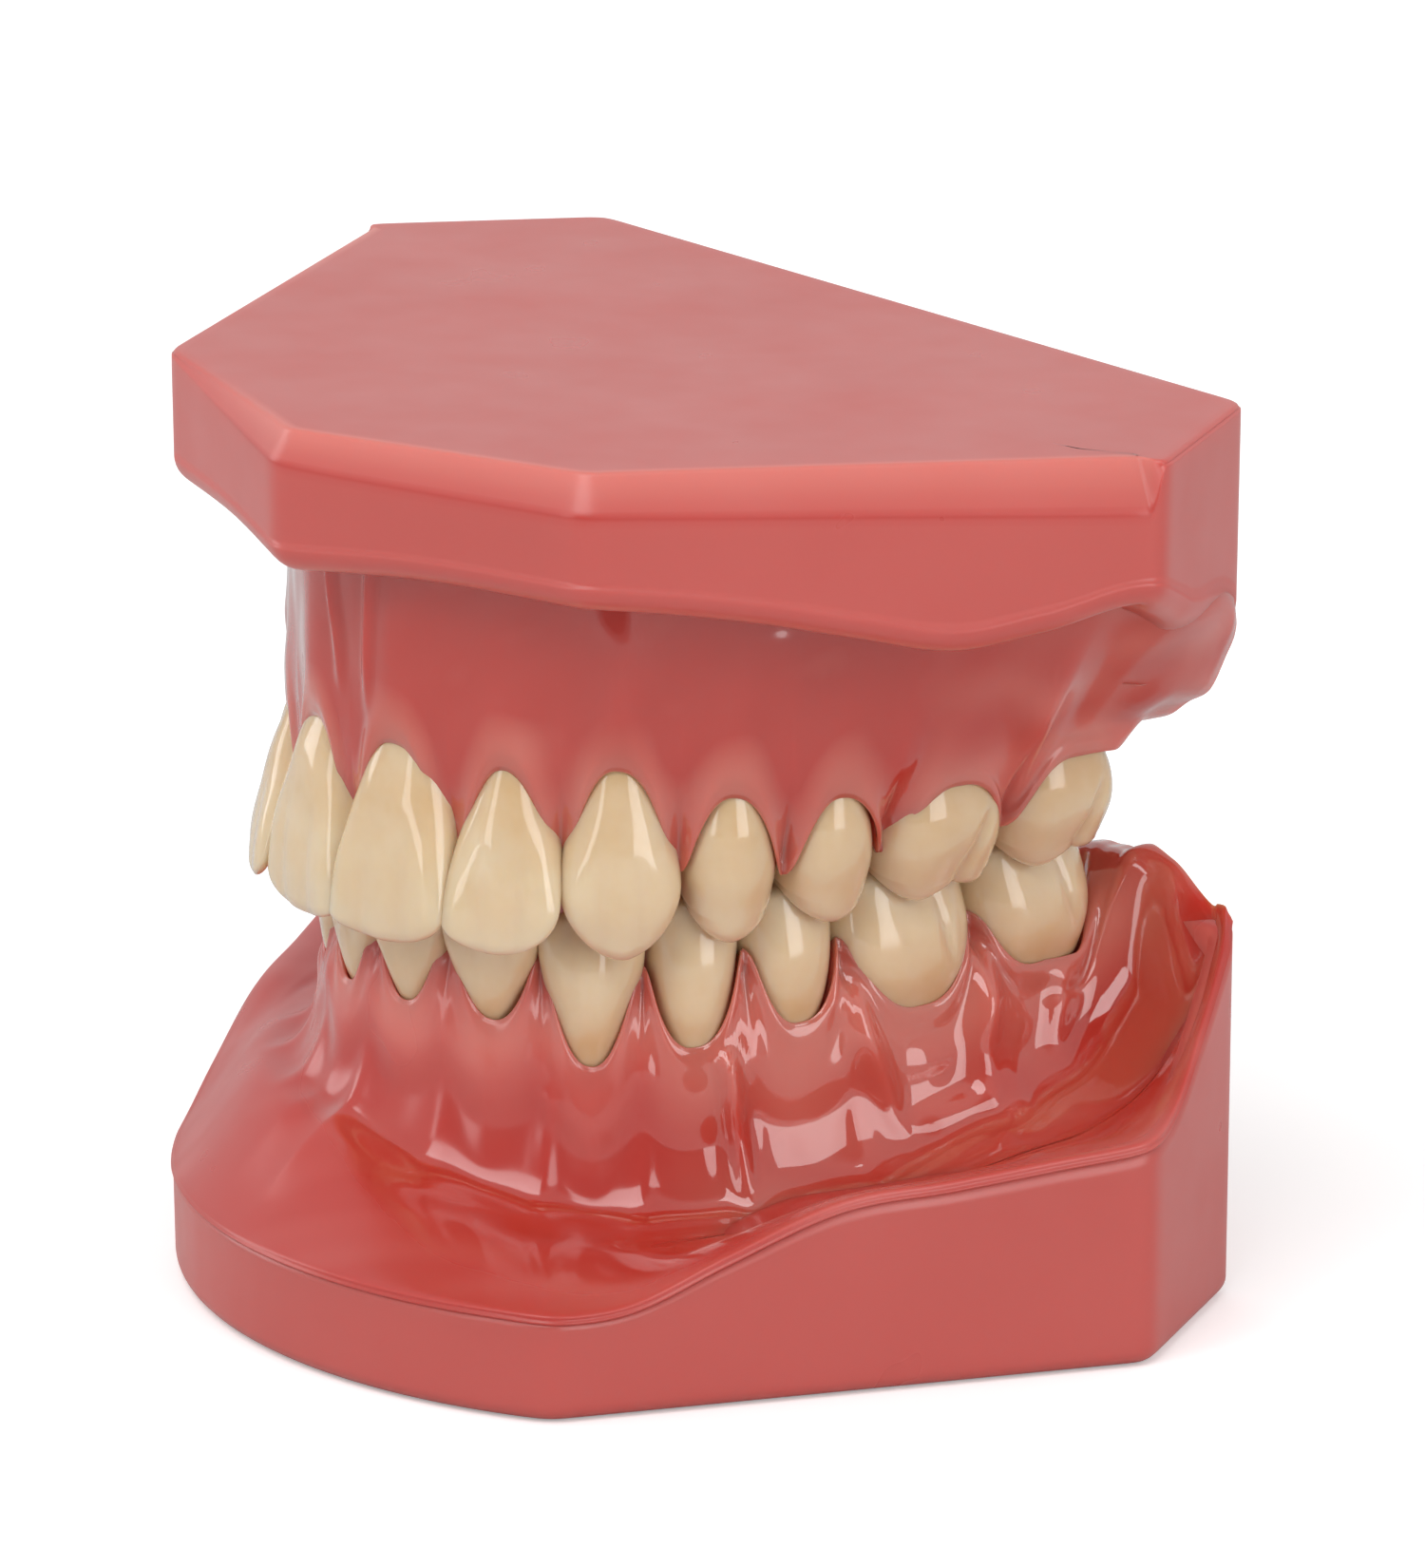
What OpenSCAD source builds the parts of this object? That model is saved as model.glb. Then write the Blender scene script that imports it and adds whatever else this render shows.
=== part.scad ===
// Teaching typodont: an upper and a lower resin half, closed on each other, with 28 teeth.
// Frame: +X is the patient's left, -Y is the front of the mouth, +Z is up.
// Origin: on the underside of the lower base, halfway from the back wall to the upper base's
// front point.
// Each half is a base block with a gum block let into it, and the teeth stand in sockets in the gum.

/* [Base blocks] */
// Height of the closed model
model_h = 59.7; // [59:0.1:61]
// Half width at the heel corners, where the side wall meets the heel wall
heel_half_w = 41.1; // [39:0.1:43]
// Half width of the straight back wall
back_half_w = 32.6; // [31:0.1:34]
// Distance from the origin to the back wall
back_y = 26.6; // [26:0.1:27.5]
// Distance from the origin back to the heel corners
heel_y = 12.4; // [11:0.1:14]
// Distance from the origin forward to the pointed front of the upper base
upper_front_y = 26.6; // [26:0.1:28]
// Half width at the canine corners of the upper base
upper_canine_w = 21.3; // [20:0.1:23]
// Distance from the origin forward to the canine corners of the upper base
upper_canine_y = 18.9; // [18:0.1:20]
// Sideways place of the lower base's left canine corner
lower_left_x = 26.0; // [24.5:0.1:27]
// Distance from the origin forward to the lower base's left canine corner
lower_left_y = 25.0; // [23.5:0.1:26]
// Sideways place of the lower base's right canine corner
lower_right_x = 19.5; // [18.8:0.1:21]
// Distance from the origin forward to the lower base's right canine corner
lower_right_y = 20.0; // [19:0.1:21]
// How far the rounded front of the lower base stands proud of the line between those corners
lower_front_bow = 8.0; // [6:0.1:9]
// Height of the bevel ground along the upper base's top edges
bevel_h = 2.4; // [1:0.1:3]
// How far that bevel runs in over the top
bevel_w = 1.2; // [0.5:0.1:2]

/* [Dental arches] */
// Half width of the upper arch over the tooth contacts
upper_arch_w = 25.0; // [24.5:0.1:25.5]
// Depth of the upper arch from the front contact to its widest line
upper_arch_d = 40.8; // [40:0.1:41.5]
// Half width of the lower arch over the tooth contacts
lower_arch_w = 22.6; // [22.2:0.1:22.8]
// Depth of the lower arch from the front contact to its widest line
lower_arch_d = 37.6; // [37:0.1:38]
// Distance from the origin back to the widest line of both arches
arch_y = 19.0; // [18.5:0.1:19.5]

/* [Gums and sockets] */
// Length of the gum points between upper teeth
upper_papilla = 3.4; // [2:0.1:4]
// Length of the gum points between lower teeth
lower_papilla = 2.6; // [2:0.1:3.5]
// Height at which the upper gum block stops inside its base
upper_seat_z = 52.5; // [52:0.1:54]
// Clearance of a tooth in its socket, on every side
socket_gap = 0.05; // [0.02:0.01:0.1]
// Distance that the upper gum runs back past the last molar
tuberosity_len = 3.0; // [2:0.1:3.4]
// Height of the floor behind the lower teeth
tongue_floor_z = 9.0; // [8:0.1:10]

/* [Hidden] */

base_pink = [0.80, 0.42, 0.40];
gum_red = [0.74, 0.28, 0.26];
tooth_ivory = [0.90, 0.84, 0.70];

UPPER = 0;
LOWER = 1;
LEFT = 1;
RIGHT = -1;

// Crown forms
BLADE = 0;
POINT = 1;
TWO_CUSPS = 2;
FOUR_CUSPS = 3;

// One row per tooth, from the midline back:
// width, depth, height of the biting edge, height of the gum margin, root length below the
// margin, sideways lean of the root, crown form
TEETH = [
    [
        [9.0, 7.2, 26.2, 39.0, 9.5, 0.10, BLADE],
        [7.2, 6.4, 26.4, 38.2, 9.5, 0.10, BLADE],
        [7.8, 8.0, 26.0, 38.5, 9.5, 0.05, POINT],
        [6.8, 9.0, 26.5, 36.6, 9.0, 0.00, TWO_CUSPS],
        [6.6, 9.0, 27.1, 36.0, 9.0, 0.00, TWO_CUSPS],
        [9.9, 10.8, 27.5, 35.7, 8.0, 0.00, FOUR_CUSPS],
        [9.3, 10.6, 28.3, 36.2, 7.5, 0.00, FOUR_CUSPS]
    ],
    [
        [5.8, 5.6, 28.4, 21.2, 9.0, 0.06, BLADE],
        [6.2, 6.0, 28.4, 20.8, 9.0, 0.06, BLADE],
        [7.1, 7.2, 28.4, 18.0, 6.6, 0.04, POINT],
        [6.3, 7.4, 28.4, 19.3, 6.6, 0.00, TWO_CUSPS],
        [6.4, 7.8, 28.7, 20.4, 6.8, 0.00, TWO_CUSPS],
        [10.6, 9.6, 29.0, 20.4, 6.5, 0.00, FOUR_CUSPS],
        [9.8, 9.4, 29.6, 21.9, 6.0, 0.00, FOUR_CUSPS]
    ]
];
TEETH_PER_SIDE = 7;

// How far the outer face of each crown form stands outside the line of contacts
FACE_OUT = [1.0, 1.3, 1.5, 1.6];
// Which way the crowns of each jaw grow
CROWN_WAY = [-1, 1];

function width(t) = t[0];
function depth(t) = t[1];
function edge_z(t) = t[2];
function margin_z(t) = t[3];
function root_len(t) = t[4];
function lean(t) = t[5];
function form(t) = t[6];

// ---- Arch curve -------------------------------------------------------------------------
// Half an ellipse in front, then straight back past its widest line. Angle 0 is the midline.

arch_size = [[upper_arch_w, upper_arch_d], [lower_arch_w, lower_arch_d]];

function arch_at(jaw, angle) =
    let(w = arch_size[jaw][0], d = arch_size[jaw][1], past = max(abs(angle) - 90, 0))
    past > 0
        ? [sign(angle) * w, arch_y + past * d * PI / 180]
        : [w * sin(angle), arch_y - d * cos(angle)];

function arch_heading(jaw, angle) =
    let(w = arch_size[jaw][0], d = arch_size[jaw][1])
    abs(angle) > 90 ? sign(angle) * 90 : atan2(d * sin(angle), w * cos(angle));

function arch_offset(jaw, angle, out) =
    let(h = arch_heading(jaw, angle))
    arch_at(jaw, angle) + out * [sin(h), -cos(h)];

// Arch angle one tooth width further on, found by halving the interval
function next_angle(jaw, angle, w, low = 0, high = 40, rounds = 16) =
    rounds == 0
        ? angle + low
        : let(mid = (low + high) / 2)
          norm(arch_at(jaw, angle + mid) - arch_at(jaw, angle)) < w
              ? next_angle(jaw, angle, w, mid, high, rounds - 1)
              : next_angle(jaw, angle, w, low, mid, rounds - 1);

function contact_angle(jaw, i) =
    i == 0 ? 0 : next_angle(jaw, contact_angle(jaw, i - 1), width(TEETH[jaw][i - 1]));

CONTACTS = [
    for (jaw = [UPPER, LOWER])
        [for (i = [0 : TEETH_PER_SIDE]) contact_angle(jaw, i)]
];

// ---- Teeth ------------------------------------------------------------------------------

RING_POINTS = 16;

// Places of the cusps as shares of half the crown, their slope, and the depth between them
CUSP_ALONG = 0.45;
CUSP_OUT = 0.55;
CUSP_SLOPE = 2.6;
FOSSA_DROP = 2.4;
// How far the inner cusps stop short of the outer ones in each jaw
INNER_DROP = [0.9, 0.7];
// Fall of a straight biting edge and of a pointed one towards their corners
BLADE_FALL = 0.25;
POINT_FALL = 2.2;

// Height of the chewing surface at a point of a crown, from its highest cusp. u runs along
// the arch and v outwards, both from -1 to 1.
function cusp_drop(kind, jaw, u, v) =
    let(
        side = kind == FOUR_CUSPS ? abs(abs(u) - CUSP_ALONG) : abs(u),
        outer = CUSP_SLOPE * norm([side, v - CUSP_OUT]),
        inner = INNER_DROP[jaw] + CUSP_SLOPE * norm([side, v + CUSP_OUT])
    )
    kind == BLADE ? BLADE_FALL * abs(u)
        : kind == POINT ? POINT_FALL * abs(u)
        : min(outer, inner, FOSSA_DROP);

// Rings of a crown from the margin to the biting edge: share of crown height, share of
// width, share of depth and outward shift as a share of half the depth
CROWN_RINGS = [
    [[0.00, 0.76, 0.92, 0.00], [0.30, 0.92, 0.90, 0.05], [0.62, 1.00, 0.62, 0.30],
     [0.90, 1.00, 0.30, 0.48], [1.00, 0.90, 0.14, 0.50], [1.00, 0.50, 0.08, 0.50]],
    [[0.00, 0.76, 0.94, 0.00], [0.30, 0.93, 0.94, 0.05], [0.62, 1.00, 0.70, 0.22],
     [0.86, 0.90, 0.38, 0.34], [1.00, 0.62, 0.16, 0.40], [1.00, 0.32, 0.08, 0.40]],
    [[0.00, 0.78, 0.90, 0.00], [0.30, 0.92, 1.00, 0.00], [0.58, 1.00, 0.96, 0.00],
     [0.98, 0.84, 0.74, 0.00], [1.00, 0.56, 0.50, 0.00], [1.00, 0.26, 0.24, 0.00]],
    [[0.00, 0.86, 0.90, 0.00], [0.30, 0.94, 1.00, 0.00], [0.58, 1.00, 0.96, 0.00],
     [0.98, 0.88, 0.76, 0.00], [1.00, 0.60, 0.52, 0.00], [1.00, 0.28, 0.26, 0.00]]
];
APEX_SHARE = 0.42;
// Rings from this share of the crown height up lie on the chewing surface
TABLE_FROM = 0.88;
CONTACT_GAP = 0.03;

// One closed ring. The local frame has x along the arch, y outwards and z towards the edge.
// The planes through the two contacts, fanned out by the turn of the arch, limit its width.
function ring(half_w, half_d, shift, z, drop_at, wedge) = [
    for (k = [0 : RING_POINTS - 1])
        let(
            a = 360 * k / RING_POINTS,
            y = half_d * sin(a) + shift,
            room = y - wedge[0],
            x = half_w * cos(a)
        )
        [
            max(-wedge[1] - room * wedge[2], min(wedge[1] + room * wedge[3], x)),
            y,
            z - drop_at(cos(a), sin(a))
        ]
];

function tooth_rings(t, jaw, turns, grow) =
    let(
        h = abs(edge_z(t) - margin_z(t)),
        hw = width(t) / 2,
        hd = depth(t) / 2,
        kind = form(t),
        root = root_len(t),
        wedge = [hd - FACE_OUT[kind], hw - CONTACT_GAP + grow, tan(turns[0]), tan(turns[1])],
        level = function(u, v) 0
    )
    concat(
        [ring(hw * APEX_SHARE + grow, hd * APEX_SHARE + grow, -lean(t) * (h + root),
              -root - grow, level, wedge)],
        [for (r = CROWN_RINGS[kind])
            ring(hw * r[1] + grow, hd * r[2] + grow, hd * r[3] - lean(t) * h * (1 - r[0]), h * r[0],
                 r[0] < TABLE_FROM ? level : function(u, v) cusp_drop(kind, jaw, r[1] * u, r[1] * v),
                 wedge)]
    );

function ring_middle(r) = [
    for (axis = [0 : 2])
        let(values = [for (p = r) p[axis]])
        (min(values) + max(values)) / 2
];

// Skin over a stack of rings, with a point in the middle of each end
module loft(rings, last_middle) {
    n = len(rings[0]);
    m = len(rings);
    points = concat([for (r = rings) each r], [ring_middle(rings[0])], [last_middle]);
    sides = [
        for (j = [0 : m - 2], k = [0 : n - 1])
            let(a = j * n + k, b = j * n + (k + 1) % n)
            each [[a, b + n, b], [a, a + n, b + n]]
    ];
    start = [for (k = [0 : n - 1]) [n * m, k, (k + 1) % n]];
    end = [for (k = [0 : n - 1]) [n * m + 1, (m - 1) * n + (k + 1) % n, (m - 1) * n + k]];
    polyhedron(points, concat(sides, start, end), convexity = 6);
}

module tooth_body(t, jaw, turns, grow) {
    h = abs(edge_z(t) - margin_z(t));
    rings = tooth_rings(t, jaw, turns, grow);
    top = ring_middle(rings[len(rings) - 1]);
    fossa = form(t) >= TWO_CUSPS ? h - FOSSA_DROP : h;
    loft(rings, [top[0], top[1], fossa + grow]);
}

// A tooth in its place on the left side of a jaw, or mirrored to the right
module tooth(jaw, side, i, grow = 0) {
    t = TEETH[jaw][i];
    angle = (CONTACTS[jaw][i] + CONTACTS[jaw][i + 1]) / 2;
    p = (arch_at(jaw, CONTACTS[jaw][i]) + arch_at(jaw, CONTACTS[jaw][i + 1])) / 2;
    h = arch_heading(jaw, angle);
    turns = [h - arch_heading(jaw, CONTACTS[jaw][i]), arch_heading(jaw, CONTACTS[jaw][i + 1]) - h];
    out = FACE_OUT[form(t)] - depth(t) / 2;
    color(tooth_ivory)
        mirror([side == RIGHT ? 1 : 0, 0, 0])
            translate([p[0] + out * sin(h), p[1] - out * cos(h), margin_z(t)])
                rotate([0, 0, h])
                    mirror([0, 0, CROWN_WAY[jaw] < 0 ? 1 : 0])
                        mirror([0, 1, 0])
                            tooth_body(t, jaw, turns, grow);
}

// ---- Shared profiles of the bases and gums -------------------------------------------------

// A side view, drawn as [y, z] points, carried across the whole width
module across(side_view) {
    rotate([90, 0, 90])
        linear_extrude(2 * heel_half_w + 10, center = true)
            polygon(side_view);
}

// Lower rim line of the upper base, from the front to the back
UPPER_SKIRT = [
    [-40, 50.6], [-19, 50.8], [-12, 50.0], [-5, 48.6], [1.5, 47.4], [6, 48.6],
    [12.4, 50.0], [18.9, 46.8], [24.2, 43.3], [40, 36]
];
// Upper rim line of the lower base, from the front to the back
LOWER_RIM = [
    [-40, 7.4], [-21, 7.4], [-15, 9.8], [-7, 13.2], [1, 13.7], [12.4, 15.2], [16, 15.6],
    [21, 20.2], [26.6, 25.4], [40, 38]
];
// Floor of the pocket that takes the lower gum block
LOWER_SEAT = [[-40, 6.2], [-15, 8], [-5, 11.5], [12, 12.8], [40, 13.5]];

ABOVE_ALL = model_h + 10;
BELOW_ALL = -10;

module above(line) across(concat(line, [[40, ABOVE_ALL], [-40, ABOVE_ALL]]));
module below(line) across(concat(line, [[40, BELOW_ALL], [-40, BELOW_ALL]]));

BAND_STEPS = 24;
BAND_END = 96;
function band_edge(jaw, out, from, to) =
    [for (k = [0 : BAND_STEPS]) arch_offset(jaw, from + (to - from) * k / BAND_STEPS, out)];

// ---- Upper half -----------------------------------------------------------------------------

upper_outline = [
    [0, -upper_front_y], [upper_canine_w, -upper_canine_y], [heel_half_w, heel_y],
    [back_half_w, back_y], [-back_half_w, back_y], [-heel_half_w, heel_y],
    [-upper_canine_w, -upper_canine_y]
];

UPPER_GUM_OUT = 1.1;

module upper_gum_outline() polygon(band_edge(UPPER, UPPER_GUM_OUT, -BAND_END, BAND_END));

// Wedge that takes the sharp top edge off between two corners, interior on the left
module edge_bevel(p, q) {
    d = q - p;
    translate([p[0], p[1], model_h])
        rotate([0, 0, atan2(d[1], d[0])])
            rotate([90, 0, 90])
                linear_extrude(norm(d))
                    polygon([[-1, -bevel_h], [0, -bevel_h], [bevel_w, 0], [bevel_w, 1], [-1, 1]]);
}

module upper_base() {
    color(base_pink)
        difference() {
            linear_extrude(model_h) polygon(upper_outline);
            below(UPPER_SKIRT);
            linear_extrude(upper_seat_z) upper_gum_outline();
            for (side = [0, 1], i = [0, 1])
                mirror([side, 0, 0]) edge_bevel(upper_outline[i], upper_outline[i + 1]);
        }
}

// ---- Gum ridges -----------------------------------------------------------------------------

// Share of a tooth's width at which each station stands, with the share of the papilla there
SCALLOP = [[0, 1.0], [0.14, 0.45], [0.32, 0.08], [0.5, 0.0], [0.68, 0.08], [0.86, 0.45]];

// Height of the gum margin at a station of the left side
function margin_at(jaw, i, share) =
    let(
        papilla = CROWN_WAY[jaw] * (jaw == UPPER ? upper_papilla : lower_papilla),
        here = margin_z(TEETH[jaw][min(i, TEETH_PER_SIDE - 1)]),
        before = margin_z(TEETH[jaw][max(i - 1, 0)])
    )
    share[0] == 0 ? (here + before) / 2 + papilla : here + papilla * share[1];

// One station: arch angle, height of the margin, how far the root below swells the gum, and
// the depth of the tooth there
function station(jaw, i, share) =
    let(a = CONTACTS[jaw][i], b = CONTACTS[jaw][min(i + 1, TEETH_PER_SIDE)])
    [a + (b - a) * share[0], margin_at(jaw, i, share), 1 - share[1],
     depth(TEETH[jaw][min(i, TEETH_PER_SIDE - 1)])];

function left_stations(jaw) = [
    for (i = [0 : TEETH_PER_SIDE - 1], share = SCALLOP) station(jaw, i, share),
    station(jaw, TEETH_PER_SIDE, SCALLOP[0])
];

function mirrored(stations) = [
    for (k = [len(stations) - 1 : -1 : 1])
        [-stations[k][0], stations[k][1], stations[k][2], stations[k][3]]
];

// The gum past the last molar, sloping from the margin there to its own end height
function gum_end(jaw, length, end_z) =
    let(
        last = CONTACTS[jaw][TEETH_PER_SIDE],
        per_mm = 180 / (PI * arch_size[jaw][1]),
        z0 = margin_z(TEETH[jaw][TEETH_PER_SIDE - 1]),
        d = depth(TEETH[jaw][TEETH_PER_SIDE - 1])
    )
    [for (s = [0.35, 0.7, 1]) [last + length * per_mm * s, z0 + (end_z - z0) * s, 0, d * (1 - 0.15 * s)]];

function all_stations(jaw, length, end_z) =
    let(left = concat(left_stations(jaw), gum_end(jaw, length, end_z)))
    concat(mirrored(left), left);

// How far the gum swells over the middle of a root
ROOT_SWELL = 0.7;

// Section of a ridge at one station, from the outer foot over the margin to the inner foot
function ridge_section(jaw, s, foot_z) =
    let(
        way = CROWN_WAY[jaw],
        swell = ROOT_SWELL * s[2],
        d = s[3],
        high = abs(s[1] - foot_z),
        at = function(out, up) concat(arch_offset(jaw, s[0], out), [foot_z + way * up])
    )
    [
        at(0.5, 0),
        at(0.4 + swell, high * 0.45),
        at(0.7 + swell, high * 0.8),
        at(0.3 + 0.5 * swell, high),
        at(-d / 2 + 1.2, high - 1),
        at(1.0 - d, high + 0.3),
        at(-0.4 - d, high * 0.75),
        at(-1.6 - d, high * 0.35),
        at(-2.2 - d, 0)
    ];

function reversed(list) = [for (k = [len(list) - 1 : -1 : 0]) list[k]];

module gum_ridge(jaw, foot_z, length, end_z) {
    sections = [for (s = all_stations(jaw, length, end_z)) ridge_section(jaw, s, foot_z)];
    ordered = CROWN_WAY[jaw] < 0 ? sections : [for (r = sections) reversed(r)];
    loft(ordered, ring_middle(ordered[len(ordered) - 1]));
}

// Slight turn that keeps the faces of a fold's ends out of line with the flat walls
FOLD_TURN = [3, 5, 7];
FOLD_SIDES = 12;

// A rounded fold of gum between two points
module fold(from, to, r) {
    hull() {
        translate(from) rotate(FOLD_TURN) sphere(r, $fn = FOLD_SIDES);
        translate(to) rotate(FOLD_TURN) sphere(r, $fn = FOLD_SIDES);
    }
}

// The folds that tie lip, cheek and tongue to a ridge: radius, and how far they stand out
FRENUM_R = 0.8;
FRENUM_OUT = 0.6;
// Cheek frena stand at the contact in front of this tooth
CHEEK_FRENUM_AT = 4;

// Teeth of one jaw, grown by the socket clearance
module sockets(jaw) {
    for (side = [LEFT, RIGHT], i = [0 : TEETH_PER_SIDE - 1])
        tooth(jaw, side, i, socket_gap);
}

// ---- Upper gum ------------------------------------------------------------------------------

PALATE_Z = 44.0;
PALATE_IN = -8.0;
GUM_CAP_Z = 46.6;
TUBEROSITY_Z = 37.4;
// Inner and outer ends of the palate's cross ridges, in plan, and their radius
RUGAE = [[1.6, -11.5, 5.1, -9.5], [1.6, -7.5, 7.1, -5.5], [1.6, -3.5, 8.6, -2.0]];
RUGA_R = 0.8;
// Pad behind the central incisors and the seam along the middle of the palate: y of the
// front end, y of the back end, and radius
PALATE_MIDDLE = [[-14.0, -12.0, 1.5], [-11.0, 12.0, 0.7]];
// Heights of the lower and upper ends of the frena, and their outward lean
UPPER_LIP_FRENUM = [42.0, 49.0];
UPPER_CHEEK_FRENUM = [41.0, 46.5];
UPPER_FRENUM_LEAN = 0.4;

module rugae() {
    for (side = [0, 1], r = RUGAE)
        mirror([side, 0, 0])
            fold([r[0], r[1], PALATE_Z], [r[2], r[3], PALATE_Z], RUGA_R);
}

module upper_frena() {
    lip = arch_offset(UPPER, 0, FRENUM_OUT);
    fold([lip[0], lip[1], UPPER_LIP_FRENUM[0]],
         [lip[0], lip[1] - UPPER_FRENUM_LEAN, UPPER_LIP_FRENUM[1]], FRENUM_R);
    cheek = arch_offset(UPPER, CONTACTS[UPPER][CHEEK_FRENUM_AT], FRENUM_OUT);
    for (side = [0, 1])
        mirror([side, 0, 0])
            fold([cheek[0], cheek[1], UPPER_CHEEK_FRENUM[0]],
                 [cheek[0] + UPPER_FRENUM_LEAN, cheek[1], UPPER_CHEEK_FRENUM[1]], FRENUM_R);
}

module palate_middle() {
    for (m = PALATE_MIDDLE)
        fold([0, m[0], PALATE_Z], [0, m[1], PALATE_Z], m[2]);
}

module upper_gum() {
    color(gum_red)
        difference() {
            union() {
                gum_ridge(UPPER, upper_seat_z - 0.5, tuberosity_len, TUBEROSITY_Z);
                translate([0, 0, PALATE_Z])
                    linear_extrude(upper_seat_z - PALATE_Z)
                        polygon(band_edge(UPPER, PALATE_IN, -BAND_END, BAND_END));
                translate([0, 0, GUM_CAP_Z])
                    linear_extrude(upper_seat_z - GUM_CAP_Z) upper_gum_outline();
                rugae();
                palate_middle();
                upper_frena();
            }
            sockets(UPPER);
            difference() {
                above(UPPER_SKIRT);
                linear_extrude(upper_seat_z) upper_gum_outline();
            }
        }
}

// ---- Lower half -----------------------------------------------------------------------------

// Circle through three points: [middle, radius]
function circle_through(a, b, c) =
    let(
        k = 2 * (a[0] * (b[1] - c[1]) + b[0] * (c[1] - a[1]) + c[0] * (a[1] - b[1])),
        x = (a * a * (b[1] - c[1]) + b * b * (c[1] - a[1]) + c * c * (a[1] - b[1])) / k,
        y = (a * a * (c[0] - b[0]) + b * b * (a[0] - c[0]) + c * c * (b[0] - a[0])) / k
    )
    [[x, y], norm(a - [x, y])];

FRONT_ARC_STEPS = 16;
function lower_front() =
    let(
        right = [-lower_right_x, -lower_right_y],
        left = [lower_left_x, -lower_left_y],
        d = left - right,
        bow = (left + right) / 2 + lower_front_bow * [d[1], -d[0]] / norm(d),
        arc = circle_through(right, bow, left),
        from = atan2(right[1] - arc[0][1], right[0] - arc[0][0]),
        to = atan2(left[1] - arc[0][1], left[0] - arc[0][0])
    )
    [for (k = [0 : FRONT_ARC_STEPS])
        let(a = from + (to - from) * k / FRONT_ARC_STEPS)
        arc[0] + arc[1] * [cos(a), sin(a)]];

LOWER_FOOT_OUT = 1.4;
LOWER_FOOT_IN = -12.0;
LOWER_FOOT_END = 99;

// Band in plan under the lower gum, open to the tongue side
module lower_foot() {
    outer = band_edge(LOWER, LOWER_FOOT_OUT, -LOWER_FOOT_END, LOWER_FOOT_END);
    inner = band_edge(LOWER, LOWER_FOOT_IN, LOWER_FOOT_END, -LOWER_FOOT_END);
    polygon(concat(outer, inner));
}

// Hollow for the tongue, open at the back
module tongue_space() {
    inner = band_edge(LOWER, LOWER_FOOT_IN, -LOWER_FOOT_END, LOWER_FOOT_END);
    half_w = inner[len(inner) - 1][0];
    polygon(concat(inner, [[half_w, back_y + 5], [-half_w, back_y + 5]]));
}

module lower_base() {
    color(base_pink)
        difference() {
            linear_extrude(model_h)
                polygon(concat(lower_front(), [[heel_half_w, heel_y], [back_half_w, back_y],
                                               [-back_half_w, back_y], [-heel_half_w, heel_y]]));
            above(LOWER_RIM);
            intersection() {
                linear_extrude(model_h) lower_foot();
                above(LOWER_SEAT);
            }
            translate([0, 0, tongue_floor_z]) linear_extrude(model_h) tongue_space();
        }
}

// ---- Lower gum ------------------------------------------------------------------------------

// The pads behind the last molars: distance in from the arch, distance back, radius, and the
// heights between which they rise
PAD_IN = -4;
PAD_BACK = 2.4;
PAD_R = 2.6;
PAD_HEIGHTS = [18.0, 23.0];
// Heights of the lower and upper ends of the frena
LOWER_LIP_FRENUM = [9.0, 16.0];
TONGUE_FRENUM = [9.5, 14.0];
LOWER_CHEEK_FRENUM = [11.5, 16.5];
TONGUE_FRENUM_IN = -8.6;
// The ridge on the tongue side below the cheek teeth: contact, distance in from the arch and
// height at its front and back ends, and radius
JAW_RIDGE = [[4, -10, 13.5], [6, -11.4, 16.5]];
JAW_RIDGE_R = 1.0;

// A fold standing straight up at a place in plan
module upright_fold(place, heights, r) {
    fold([place[0], place[1], heights[0]], [place[0], place[1], heights[1]], r);
}

module retromolar_pads() {
    p = arch_offset(LOWER, CONTACTS[LOWER][TEETH_PER_SIDE], PAD_IN);
    for (side = [0, 1])
        mirror([side, 0, 0]) upright_fold([p[0], p[1] + PAD_BACK], PAD_HEIGHTS, PAD_R);
}

module lower_frena() {
    upright_fold(arch_offset(LOWER, 0, FRENUM_OUT), LOWER_LIP_FRENUM, FRENUM_R);
    upright_fold(arch_offset(LOWER, 0, TONGUE_FRENUM_IN), TONGUE_FRENUM, FRENUM_R);
    cheek = arch_offset(LOWER, CONTACTS[LOWER][CHEEK_FRENUM_AT], FRENUM_OUT);
    for (side = [0, 1])
        mirror([side, 0, 0]) upright_fold(cheek, LOWER_CHEEK_FRENUM, FRENUM_R);
}

module jaw_ridges() {
    ends = [for (e = JAW_RIDGE) concat(arch_offset(LOWER, CONTACTS[LOWER][e[0]], e[1]), [e[2]])];
    for (side = [0, 1])
        mirror([side, 0, 0]) fold(ends[0], ends[1], JAW_RIDGE_R);
}

module lower_gum() {
    color(gum_red)
        difference() {
            union() {
                gum_ridge(LOWER, 9, 4.6, 24.5);
                intersection() {
                    linear_extrude(model_h) lower_foot();
                    below(LOWER_RIM);
                }
                retromolar_pads();
                lower_frena();
                jaw_ridges();
            }
            sockets(LOWER);
            below(LOWER_SEAT);
            difference() {
                below(LOWER_RIM);
                linear_extrude(model_h) lower_foot();
            }
        }
}

// ---- Parts ----------------------------------------------------------------------------------

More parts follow.
